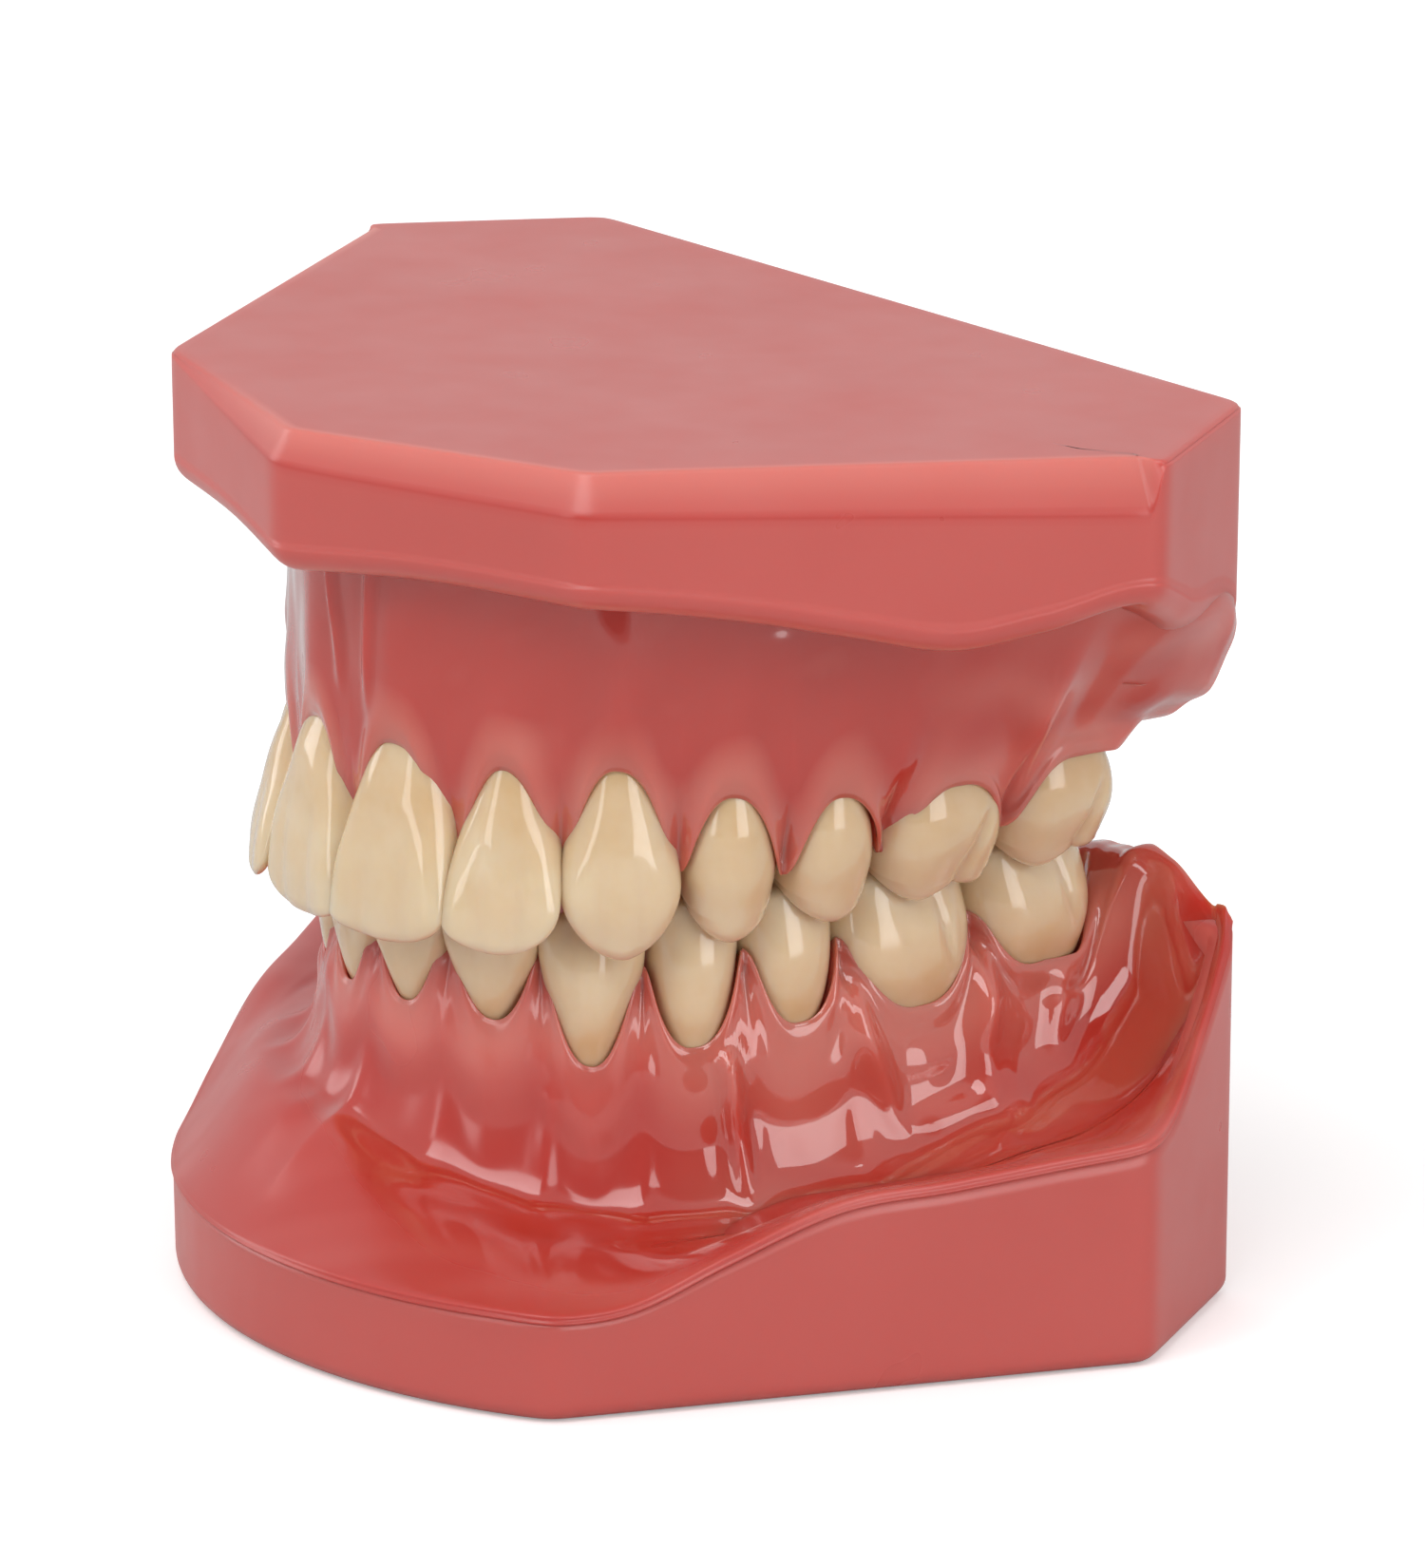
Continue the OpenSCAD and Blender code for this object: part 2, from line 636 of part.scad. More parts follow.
upper_base();
upper_gum();
lower_base();
lower_gum();
tooth(UPPER, LEFT, 0);  // upper_left_central_incisor
tooth(UPPER, LEFT, 1);  // upper_left_lateral_incisor
tooth(UPPER, LEFT, 2);  // upper_left_canine
tooth(UPPER, LEFT, 3);  // upper_left_first_premolar
tooth(UPPER, LEFT, 4);  // upper_left_second_premolar
tooth(UPPER, LEFT, 5);  // upper_left_first_molar
tooth(UPPER, LEFT, 6);  // upper_left_second_molar
tooth(UPPER, RIGHT, 0);  // upper_right_central_incisor
tooth(UPPER, RIGHT, 1);  // upper_right_lateral_incisor
tooth(UPPER, RIGHT, 2);  // upper_right_canine
tooth(UPPER, RIGHT, 3);  // upper_right_first_premolar
tooth(UPPER, RIGHT, 4);  // upper_right_second_premolar
tooth(UPPER, RIGHT, 5);  // upper_right_first_molar
tooth(UPPER, RIGHT, 6);  // upper_right_second_molar
tooth(LOWER, LEFT, 0);  // lower_left_central_incisor
tooth(LOWER, LEFT, 1);  // lower_left_lateral_incisor
tooth(LOWER, LEFT, 2);  // lower_left_canine
tooth(LOWER, LEFT, 3);  // lower_left_first_premolar
tooth(LOWER, LEFT, 4);  // lower_left_second_premolar
tooth(LOWER, LEFT, 5);  // lower_left_first_molar
tooth(LOWER, LEFT, 6);  // lower_left_second_molar
tooth(LOWER, RIGHT, 0);  // lower_right_central_incisor
tooth(LOWER, RIGHT, 1);  // lower_right_lateral_incisor
tooth(LOWER, RIGHT, 2);  // lower_right_canine
tooth(LOWER, RIGHT, 3);  // lower_right_first_premolar
tooth(LOWER, RIGHT, 4);  // lower_right_second_premolar
tooth(LOWER, RIGHT, 5);  // lower_right_first_molar
tooth(LOWER, RIGHT, 6);  // lower_right_second_molar
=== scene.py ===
"""The looks of a teaching typodont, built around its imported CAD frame.

Each half is a satin base block, a glossy gum and 14 teeth. All shapes are worked out in
millimetres from the CAD nodes and stored in metres. Named sizes are in millimetres.
"""

import math

import bmesh
import bpy
import numpy as np
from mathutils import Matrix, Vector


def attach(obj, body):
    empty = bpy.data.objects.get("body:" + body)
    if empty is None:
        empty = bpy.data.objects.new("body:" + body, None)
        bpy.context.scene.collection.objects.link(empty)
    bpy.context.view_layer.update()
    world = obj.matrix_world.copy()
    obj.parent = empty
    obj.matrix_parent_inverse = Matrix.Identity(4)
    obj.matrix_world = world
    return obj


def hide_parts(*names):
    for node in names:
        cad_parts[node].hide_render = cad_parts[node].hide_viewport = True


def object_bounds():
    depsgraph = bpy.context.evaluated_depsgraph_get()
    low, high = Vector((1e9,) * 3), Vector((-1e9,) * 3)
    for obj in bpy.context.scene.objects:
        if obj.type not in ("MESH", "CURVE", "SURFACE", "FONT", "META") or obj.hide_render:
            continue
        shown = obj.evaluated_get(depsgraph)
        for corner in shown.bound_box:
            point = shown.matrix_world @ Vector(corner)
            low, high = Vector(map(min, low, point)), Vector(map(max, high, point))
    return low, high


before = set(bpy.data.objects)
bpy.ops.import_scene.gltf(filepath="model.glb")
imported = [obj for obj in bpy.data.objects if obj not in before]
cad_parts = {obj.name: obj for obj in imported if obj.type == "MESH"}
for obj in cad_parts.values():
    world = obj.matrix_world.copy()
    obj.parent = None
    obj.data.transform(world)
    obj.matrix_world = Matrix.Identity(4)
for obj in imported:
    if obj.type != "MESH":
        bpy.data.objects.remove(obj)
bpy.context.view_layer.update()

MM = 0.001
KINDS = [
    "central_incisor", "lateral_incisor", "canine", "first_premolar", "second_premolar",
    "first_molar", "second_molar",
]
WAY = {"upper": -1, "lower": 1}
BODY = {"upper": "upper_half", "lower": "lower_half"}


# ---- Small tools -------------------------------------------------------------------------


def smooth(x, low, high):
    """0 below low, 1 above high, with a soft change between them."""
    t = np.clip((x - low) / (high - low), 0, 1)
    return t * t * (3 - 2 * t)


def bell(x, middle, width):
    return np.exp(-(((x - middle) / width) ** 2))


def curve(points, x):
    """A smooth curve through (x, y) points, level beyond its ends."""
    xs, ys = np.array(points, float).T
    slope = np.gradient(ys, xs)
    x = np.asarray(x, float)
    i = np.clip(np.searchsorted(xs, x) - 1, 0, len(xs) - 2)
    span = xs[i + 1] - xs[i]
    t = np.clip((x - xs[i]) / span, 0, 1)
    rise = ys[i + 1] - ys[i]
    a = slope[i] * span - rise
    b = rise - slope[i + 1] * span
    return ys[i] + rise * t + t * (1 - t) * (a * (1 - t) + b * t)


def waves(x, y, z, size, seed):
    """Smooth random unevenness between about -1 and 1, repeating nowhere near its size."""
    rng = np.random.default_rng(seed)
    total = 0
    for _ in range(7):
        d = rng.normal(size=3)
        d *= 2 * math.pi / (size * rng.uniform(0.7, 1.6) * np.linalg.norm(d))
        total = total + np.sin(d[0] * x + d[1] * y + d[2] * z + rng.uniform(0, 6.3))
    return total / 4


def power(x, exponent):
    return np.sign(x) * np.abs(x) ** exponent


def sheet_faces(rows, columns):
    """Quads over a grid of points whose last column joins the first."""
    r, c = np.meshgrid(np.arange(rows - 1), np.arange(columns), indexing="ij")
    here, after = r * columns, (r + 1) * columns
    following = (c + 1) % columns
    quads = [here + c, here + following, after + following, after + c]
    return np.stack(quads, -1).reshape(-1, 4)


def cut_behind(mesh, y):
    """Trims a closed mesh at an upright plane across the back and closes the cut flat."""
    solid = bmesh.new()
    solid.from_mesh(mesh)
    bmesh.ops.bisect_plane(solid, geom=[*solid.verts, *solid.edges, *solid.faces],
                           plane_co=(0, y * MM, 0), plane_no=(0, 1, 0), clear_outer=True)
    rim = [edge for edge in solid.edges if edge.is_boundary]
    for edge in rim:
        edge.smooth = False
    caps = bmesh.ops.edgeloop_fill(solid, edges=rim)["faces"]
    for face in bmesh.ops.triangulate(solid, faces=caps)["faces"]:
        face.smooth = False
    solid.to_mesh(mesh)
    solid.free()


def make_piece(name, points, faces, material, body, stands_for, flip=False, shade=None,
               back=None):
    """A closed mesh object in metres that rides on a body and stands for a CAD node. With back,
    everything behind that distance is cut away."""
    mesh = bpy.data.meshes.new(name)
    order = (lambda f: tuple(reversed(f))) if flip else tuple
    mesh.from_pydata((np.asarray(points) * MM).tolist(), [], [order(f) for f in faces])
    mesh.validate()
    mesh.polygons.foreach_set("use_smooth", [True] * len(mesh.polygons))
    if shade is not None:
        for key, values in shade.items():
            layer = mesh.attributes.new(key, "FLOAT", "POINT")
            layer.data.foreach_set("value", np.asarray(values, np.float32).ravel())
    if back is not None:
        cut_behind(mesh, back)
    mesh.update()
    piece = bpy.data.objects.new(name, mesh)
    bpy.context.collection.objects.link(piece)
    mesh.materials.append(material)
    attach(piece, body)
    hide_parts(stands_for)
    return piece


# ---- Node materials ----------------------------------------------------------------------


def new_material(name):
    material = bpy.data.materials.new(name)
    material.use_nodes = True
    tree = material.node_tree
    return material, tree, tree.nodes["Principled BSDF"]


def add(tree, kind, **inputs):
    node = tree.nodes.new(kind)
    for key, value in inputs.items():
        node.inputs[key.replace("_", " ")].default_value = value
    return node


def noise(tree, scale, detail=3.0):
    place = tree.nodes.new("ShaderNodeTexCoord")
    node = add(tree, "ShaderNodeTexNoise", Scale=scale, Detail=detail)
    tree.links.new(place.outputs["Object"], node.inputs["Vector"])
    return node.outputs["Fac"]


def mapped(tree, value, low, high, to_low, to_high):
    node = add(tree, "ShaderNodeMapRange", From_Min=low, From_Max=high, To_Min=to_low, To_Max=to_high)
    tree.links.new(value, node.inputs["Value"])
    return node.outputs["Result"]


def feed(tree, socket, item):
    """Gives a socket another socket's output, a number or a colour."""
    if hasattr(item, "links"):
        tree.links.new(item, socket)
    else:
        socket.default_value = (*item, 1.0) if isinstance(item, tuple) else item


def mixed(tree, share, a, b):
    """Blend of two colours. share, a and b may be values or sockets."""
    node = tree.nodes.new("ShaderNodeMix")
    node.data_type = "RGBA"
    feed(tree, node.inputs[0], share)
    feed(tree, node.inputs[6], a)
    feed(tree, node.inputs[7], b)
    return node.outputs[2]


def blended(tree, share, a, b):
    """Blend of two numbers. share, a and b may be values or sockets."""
    node = tree.nodes.new("ShaderNodeMix")
    feed(tree, node.inputs[0], share)
    feed(tree, node.inputs[2], a)
    feed(tree, node.inputs[3], b)
    return node.outputs[0]


def attribute(tree, name):
    node = tree.nodes.new("ShaderNodeAttribute")
    node.attribute_name = name
    return node.outputs["Fac"]


def bumped(tree, shader, layers, socket="Normal"):
    """Stack of bump layers: (height, strength, distance in metres)."""
    normal = None
    for height, strength, distance in layers:
        node = add(tree, "ShaderNodeBump", Strength=strength, Distance=distance)
        tree.links.new(height, node.inputs["Height"])
        if normal:
            tree.links.new(normal, node.inputs["Normal"])
        normal = node.outputs["Normal"]
    tree.links.new(normal, shader.inputs[socket])


BASE_PINK = (0.58, 0.105, 0.090)
BASE_DEEP = (0.54, 0.088, 0.074)
# Lighter pink painted on the upper base: a painted highlight down the bevel, and lighter colour under
# the skirt's rounded edge
BASE_PAINTED_LIGHT = (0.70, 0.200, 0.165)
# Deep red painted as a dark reflection line along the foot of the upper base's bevel
BASE_PAINTED_DARK_LINE = (0.50, 0.050, 0.040)
GUM_RED = (0.49, 0.040, 0.026)
GUM_PALE = (0.60, 0.150, 0.110)
IVORY = (0.72, 0.54, 0.33)
IVORY_WARM = (0.66, 0.44, 0.23)
IVORY_LIGHT = (0.84, 0.76, 0.58)
EDGE_CLEAR = (0.70, 0.57, 0.40)


def resin_material():
    """Cast denture resin. Attribute wet is 0 on the satin base and 1 on the glossy gum.
    Attribute pale runs from the deepest to the palest colour, 0.5 being the plain base. On the
    base it carries painted light: a painted highlight down the bevel, a painted dark reflection
    line at its foot, and lighter colour painted under the skirt's rounded edge."""
    material, tree, shader = new_material("cast_resin")
    wet = attribute(tree, "wet")
    pale = attribute(tree, "pale")
    cloud = mapped(tree, noise(tree, 60, 2), 0.15, 0.85, 0.0, 1.0)
    base = mixed(tree, cloud, BASE_PINK, BASE_DEEP)
    # Painted light on the base: pale above 0.5 blends in the lighter painted pink, below 0.5 the deep
    # red painted dark line
    base = mixed(tree, mapped(tree, pale, 0.5, 1.0, 0.0, 1.0), base, BASE_PAINTED_LIGHT)
    base = mixed(tree, mapped(tree, pale, 0.0, 0.5, 1.0, 0.0), base, BASE_PAINTED_DARK_LINE)
    gum = mixed(tree, pale, GUM_RED, GUM_PALE)
    tree.links.new(mixed(tree, wet, base, gum), shader.inputs["Base Color"])
    smear = mapped(tree, noise(tree, 140, 2), 0.15, 0.85, 0.24, 0.39)
    gloss = mapped(tree, noise(tree, 90, 2), 0.15, 0.85, 0.02, 0.10)
    tree.links.new(blended(tree, wet, smear, gloss), shader.inputs["Roughness"])
    shader.inputs["Subsurface Weight"].default_value = 0.35
    shader.inputs["Subsurface Radius"].default_value = (1.0, 0.22, 0.16)
    shader.inputs["Subsurface Scale"].default_value = 0.004
    shader.inputs["IOR"].default_value = 1.5
    tree.links.new(blended(tree, wet, 0.15, 0.9), shader.inputs["Coat Weight"])
    tree.links.new(blended(tree, wet, 0.25, 0.02), shader.inputs["Coat Roughness"])
    swell = (noise(tree, 35, 1), 0.11, 0.0006)
    grain = (noise(tree, 240, 1), 0.04, 0.0001)
    bumped(tree, shader, [swell, grain])
    bumped(tree, shader, [(noise(tree, 110, 1), 0.05, 0.0004)], "Coat Normal")
    return material


def tooth_material():
    """Tooth resin, warm at the neck and clearer towards the biting edge. Attribute up is the
    share of crown height."""
    material, tree, shader = new_material("tooth_resin")
    up = attribute(tree, "up")
    warm = mapped(tree, up, 0.05, 0.55, 1.0, 0.0)
    body = mixed(tree, warm, IVORY, IVORY_WARM)
    clear = mapped(tree, up, 0.72, 1.0, 0.0, 0.7)
    patches = mapped(tree, noise(tree, 300, 3), 0.35, 0.7, 0.0, 0.25)
    mottled = mixed(tree, patches, body, IVORY_LIGHT)
    tree.links.new(mixed(tree, clear, mottled, EDGE_CLEAR), shader.inputs["Base Color"])
    polish = mapped(tree, noise(tree, 200, 3), 0.3, 0.8, 0.08, 0.20)
    tree.links.new(polish, shader.inputs["Roughness"])
    shader.inputs["Subsurface Weight"].default_value = 0.45
    shader.inputs["Subsurface Radius"].default_value = (1.0, 0.75, 0.45)
    shader.inputs["Subsurface Scale"].default_value = 0.003
    shader.inputs["Coat Weight"].default_value = 0.6
    shader.inputs["Coat Roughness"].default_value = 0.05
    ripple = (noise(tree, 180, 2), 0.25, 0.0003)
    grain = (noise(tree, 1400, 2), 0.08, 0.00004)
    bumped(tree, shader, [ripple, grain])
    return material


RESIN = resin_material()
TOOTH = tooth_material()


# ---- Where the teeth stand ---------------------------------------------------------------


def node_points(name):
    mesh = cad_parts[name].data
    flat = np.empty(len(mesh.vertices) * 3)
    mesh.vertices.foreach_get("co", flat)
    return flat.reshape(-1, 3) / MM


class Site:
    """Place and size of one left tooth, read from its CAD node. The peg's second ring of
    points from the root end lies at the gum margin."""

    def __init__(self, jaw, kind):
        self.jaw = jaw
        self.kind = kind
        self.way = WAY[jaw]
        points = node_points(f"{jaw}_left_{kind}")
        up = points[:, 2] * self.way
        levels = np.unique(np.round(up, 2))
        self.apex = levels[0]
        self.margin = levels[1]
        self.edge = levels[-1]
        neck = points[np.abs(up - self.margin) < 0.02]
        self.points = points
        self.neck = neck
        self.centre = (neck[:, :2].min(0) + neck[:, :2].max(0)) / 2

    def face(self, heading):
        """Turns the site to its heading and measures it across and outwards."""
        self.heading = heading / np.linalg.norm(heading)
        self.out = np.array([self.heading[1], -self.heading[0]])
        along = (self.points[:, :2] - self.centre) @ self.heading
        outward = (self.points[:, :2] - self.centre) @ self.out
        self.width = along.max() - along.min()
        self.shift = (along.max() + along.min()) / 2
        self.depth = outward.max() - outward.min()
        self.neck_out = ((self.neck[:, :2] - self.centre) @ self.out).max()

    @property
    def height(self):
        return self.edge - self.margin

    @property
    def root(self):
        return self.margin - self.apex


def sites(jaw):
    row = [Site(jaw, kind) for kind in KINDS]
    mirror = np.array([-1, 1])
    centres = [row[0].centre * mirror] + [s.centre for s in row]
    centres.append(2 * centres[-1] - centres[-2])
    for k, s in enumerate(row):
        s.face(centres[k + 2] - centres[k])
    turns = [math.atan2(s.heading[1], s.heading[0]) for s in row]
    turns = [-turns[0]] + turns + [turns[-1]]
    start = 0
    for k, s in enumerate(row):
        s.turn = (turns[k + 2] - turns[k]) / 2
        s.start = start
        start += s.width
        s.middle = s.start + s.width / 2
    return row


SITES = {jaw: sites(jaw) for jaw in ("upper", "lower")}


# ---- Teeth -------------------------------------------------------------------------------

# How far each crown reaches past its CAD width to touch its neighbour
TOUCH = 0.09
# Share of the full depth at the neck
NECK_D = 0.9
AROUND = 96
ROOT_RINGS = 8
CROWN_RINGS = 48
TABLE_RINGS = 26

# Front crowns. neck is the share of the full width at the gum, reach_m and reach_d are the
# shares of the height where the sides towards and away from the midline reach full width,
# round_m and round_d the radii of those two corners, point the drop of a pointed edge, and
# flat how boxy the crown is across. The profiles give the outer and inner faces as (share of
# height, share of half the depth).
INCISOR_FACE = [(-0.1, 0.82), (0, 0.90), (0.2, 1.0), (0.5, 0.98), (0.8, 0.86), (1, 0.70)]
INCISOR_BACK = [(-0.1, -0.9), (0, -0.95), (0.15, -0.98), (0.35, -0.55), (0.6, 0.05), (1, 0.46)]
CANINE_FACE = [(-0.1, 0.86), (0, 0.92), (0.25, 1.04), (0.55, 1.02), (0.8, 0.86), (1, 0.62)]
CANINE_BACK = [(-0.1, -0.9), (0, -0.95), (0.2, -0.98), (0.4, -0.65), (0.7, -0.05), (1, 0.30)]
FRONT_COLUMNS = ("neck", "reach_m", "reach_d", "round_m", "round_d", "point", "flat", "face", "back")
FRONT = {
    "upper_central_incisor": (0.68, 0.8, 0.72, 1.1, 2.2, 0.15, 2.9, INCISOR_FACE, INCISOR_BACK),
    "upper_lateral_incisor": (0.54, 0.8, 0.7, 1.8, 3.2, 0.35, 2.5, INCISOR_FACE, INCISOR_BACK),
    "upper_canine": (0.62, 0.66, 0.66, 4.2, 4.6, 1.3, 2.4, CANINE_FACE, CANINE_BACK),
    "lower_central_incisor": (0.5, 0.85, 0.85, 0.5, 0.8, 0.0, 2.8, INCISOR_FACE, INCISOR_BACK),
    "lower_lateral_incisor": (0.5, 0.85, 0.8, 0.5, 1.2, 0.1, 2.7, INCISOR_FACE, INCISOR_BACK),
    "lower_canine": (0.54, 0.85, 0.8, 1.0, 1.6, 0.7, 2.5, CANINE_FACE, CANINE_BACK),
}
FRONT = {name: dict(zip(FRONT_COLUMNS, row)) for name, row in FRONT.items()}

# Cheek teeth. cusps are (place along, place outwards, drop from the highest), both places as
# shares of half the chewing surface; fall is the slope of the cusps, rim the rounding of the
# chewing surface's edge in mm, groove the depth of the groove between the outer cusps, and
# raised how far the cusps stand above the CAD crown.
CHEEK_COLUMNS = ("neck", "reach", "rim_w", "rim", "flat", "fall", "groove", "raised", "cusps")
CHEEK = {
    "upper_first_premolar": (
        0.7, 0.62, 0.84, 1.0, 2.3, 0.56, 0.0, 0.0,
        [(-0.05, 0.70, 0.0), (0.05, -0.60, 1.0)]),
    "upper_second_premolar": (
        0.72, 0.62, 0.86, 0.9, 2.4, 0.5, 0.0, 0.0,
        [(0.00, 0.68, 0.0), (0.00, -0.58, 0.5)]),
    "upper_first_molar": (
        0.82, 0.58, 0.88, 0.9, 2.8, 0.44, 0.55, 0.2,
        [(-0.42, 0.70, 0.0), (0.58, 0.68, 0.5), (-0.40, -0.58, 0.5), (0.50, -0.60, 0.9)]),
    "upper_second_molar": (
        0.82, 0.58, 0.88, 0.9, 2.6, 0.44, 0.45, 0.2,
        [(-0.40, 0.70, 0.0), (0.55, 0.66, 0.7), (-0.40, -0.58, 0.5), (0.48, -0.58, 1.1)]),
    "lower_first_premolar": (
        0.68, 0.8, 0.94, 0.6, 2.4, 0.34, 0.0, 0.7,
        [(0.00, 0.60, 0.0), (0.05, -0.60, 1.0)]),
    "lower_second_premolar": (
        0.7, 0.76, 0.94, 0.6, 2.4, 0.32, 0.0, 0.7,
        [(0.00, 0.58, 0.0), (0.00, -0.58, 0.5)]),
    "lower_first_molar": (
        0.82, 0.62, 0.92, 0.7, 2.8, 0.36, 0.4, 0.7,
        [(-0.50, 0.60, 0.0), (0.40, 0.60, 0.1), (-0.45, -0.58, 0.4), (0.45, -0.58, 0.6)]),
    "lower_second_molar": (
        0.82, 0.62, 0.92, 0.7, 2.6, 0.36, 0.35, 0.5,
        [(-0.48, 0.60, 0.0), (0.42, 0.60, 0.1), (-0.45, -0.58, 0.4), (0.45, -0.58, 0.6)]),
}
CHEEK = {name: dict(zip(CHEEK_COLUMNS, row)) for name, row in CHEEK.items()}


def root_rings(site, half_w, half_d):
    """Rings of the peg from the apex up to just below the margin, as (z, x scale, y scale)."""
    share = np.linspace(0, 1, ROOT_RINGS, endpoint=False)
    taper = 0.42 + 0.50 * np.sqrt(share)
    taper[0] = 0.30
    return [(-site.root * (1 - t), half_w * k, half_d * k) for t, k in zip(share, taper)]


def corner(height, top, radius, exponent=2.2):
    """Share of a width left at a height, near a top edge with rounded corners."""
    t = np.clip((height - (top - radius)) / radius, 0, 1)
    return (1 - t ** exponent) ** (1 / exponent)


def flank(t, neck, reach):
    """Share of the full width at a share of the height, from the neck to the contact."""
    rise = 1 - (1 - np.clip(t / reach, 0, 1)) ** 1.75
    return neck + (1 - neck) * rise


def root_part(site, half_w, half_d, c, s):
    """Root rings as points, and the share of crown height of each, which is 0."""
    rings = []
    ups = []
    for z, wide, deep in root_rings(site, half_w, half_d):
        rings.append(np.stack([wide * c, deep * s, np.full(AROUND, z)], 1))
        ups.append(np.zeros(AROUND))
    return rings, ups


def front_tooth(site):
    """Points, faces and shares of crown height of an incisor or a canine."""
    form = FRONT[f"{site.jaw}_{site.kind}"]
    hw, hd, h = site.width / 2 + TOUCH, site.depth / 2, site.height
    angle = np.arange(AROUND) * 2 * math.pi / AROUND
    c, s = np.cos(angle), np.sin(angle)
    rings, ups = root_part(site, hw * form["neck"], hd * NECK_D, c, s)
    shares = np.sin(np.linspace(0, math.pi / 2, CROWN_RINGS)) ** 0.9
    shares[-1] = 0.9995
    for t in shares:
        mesial = hw * flank(t, form["neck"], form["reach_m"]) * corner(t * h, h, form["round_m"])
        distal = hw * flank(t, form["neck"], form["reach_d"]) * corner(t * h, h, form["round_d"])
        face = float(curve(form["face"], t)) * hd
        back = float(curve(form["back"], t)) * hd
        thick = (face - back) / 2 * math.sqrt(max(1 - max((t - 0.93) / 0.07, 0) ** 2, 0.0))
        middle = (face + back) / 2
        x = np.where(c < 0, mesial, distal) * power(c, 2 / form["flat"])
        y = middle + thick * power(s, 2 / 2.4)
        u = x / hw
        front = np.clip(s, 0, 1)
        # Two shallow upright hollows between three lobes, and a raised edge down each side
        y = y - 0.16 * front * smooth(t, 0.2, 0.7) * (bell(u, 0.34, 0.15) + bell(u, -0.34, 0.15))
        y = y + 0.12 * front * smooth(t, 0.1, 0.5) * (bell(u, 0.80, 0.13) + bell(u, -0.80, 0.13))
        z = t * h - form["point"] * (np.sqrt(u * u + 0.03) - 0.17) * smooth(t, 0.35, 1.0)
        rings.append(np.stack([x, y, z], 1))
        ups.append(np.full(AROUND, t))
    points = np.concatenate(rings)
    rows = len(rings)
    half = AROUND // 2
    last = (rows - 1) * AROUND
    cap = [(last + k, last + k + 1, last + (AROUND - k - 1) % AROUND, last + (AROUND - k) % AROUND)
           for k in range(1, half - 1)]
    cap += [(last, last + 1, last + AROUND - 1), (last + half - 1, last + half, last + half + 1)]
    end = [tuple(range(AROUND - 1, -1, -1))]
    return points, sheet_faces(rows, AROUND).tolist() + cap + end, np.concatenate(ups)


def cusp_height(form, x, y, half_w, half_d):
    """Height below the highest cusp, as a soft maximum of round-topped cones."""
    sharp = 5.0
    total = 0
    for along, out, drop in form["cusps"]:
        away = np.sqrt((x - along * half_w) ** 2 + (y - out * half_d) ** 2 + 0.8) - 0.894
        total = total + np.exp(sharp * (-drop - form["fall"] * 1.25 * away))
    total = total + math.exp(sharp * -2.0)
    return np.log(total) / sharp


def cheek_tooth(site):
    """Points, faces and shares of crown height of a premolar or a molar."""
    form = CHEEK[f"{site.jaw}_{site.kind}"]
    hw, hd, h = site.width / 2 + TOUCH, site.depth / 2, site.height + form["raised"]
    angle = np.arange(AROUND) * 2 * math.pi / AROUND
    c, s = np.cos(angle), np.sin(angle)
    neck_d = hd * NECK_D
    rim_w, rim_d = hw * form["rim_w"], hd * 0.74
    rings, ups = root_part(site, hw * form["neck"], neck_d, c, s)
    cx, cy = power(c, 2 / form["flat"]), power(s, 2 / form["flat"])

    def side_groove(x, t):
        place = hw * (0.62 - 0.40 * t)
        return -np.sign(s) * form["groove"] * bell(x, place, 0.45) * smooth(t, 0.15, 0.6)

    edge_x = rim_w * cx
    edge_y = rim_d * cy + side_groove(edge_x, 1.0)
    rim_z = h + cusp_height(form, edge_x, edge_y, rim_w, rim_d) - form["rim"]
    for t in np.linspace(0, 1, CROWN_RINGS, endpoint=False):
        wide = hw * flank(t, form["neck"], form["reach"])
        wide += (rim_w - hw) * smooth(t, form["reach"], 1.15)
        outer = curve([(0, neck_d), (0.3, hd), (0.6, hd * 0.96), (1, rim_d)], t)
        x = wide * cx
        y = outer * cy + side_groove(x, t)
        rings.append(np.stack([x, y, t * rim_z], 1))
        ups.append(t * rim_z / h)
    for t in np.linspace(1, 0, TABLE_RINGS, endpoint=False):
        x, y = edge_x * t, edge_y * t
        fall = 1 - np.sqrt(1 - np.clip((t - 0.55) / 0.45, 0, 1) ** 2.5)
        z = h + cusp_height(form, x, y, rim_w, rim_d) - form["rim"] * fall
        rings.append(np.stack([x, y, z], 1))
        ups.append(z / h)
    points = np.concatenate(rings + [[[0, 0, h + float(cusp_height(form, 0, 0, rim_w, rim_d))]]])
    rows = len(rings)
    last = (rows - 1) * AROUND
    cap = [(last + k, last + (k + 1) % AROUND, rows * AROUND) for k in range(AROUND)]
    end = [tuple(range(AROUND - 1, -1, -1))]
    return points, sheet_faces(rows, AROUND).tolist() + cap + end, np.concatenate(ups + [[0.8]])


# How far each crown leans outwards, per mm of its height
LEAN = {
    "upper": {"central_incisor": 0.20, "lateral_incisor": 0.24, "canine": 0.18,
              "first_premolar": 0.04},
    "lower": {"central_incisor": 0.16, "lateral_incisor": 0.16, "canine": 0.08},
}
# The upper right front teeth lean out a little further than the left ones
RIGHT_LEAN = {"lateral_incisor": 0.07, "canine": 0.03}


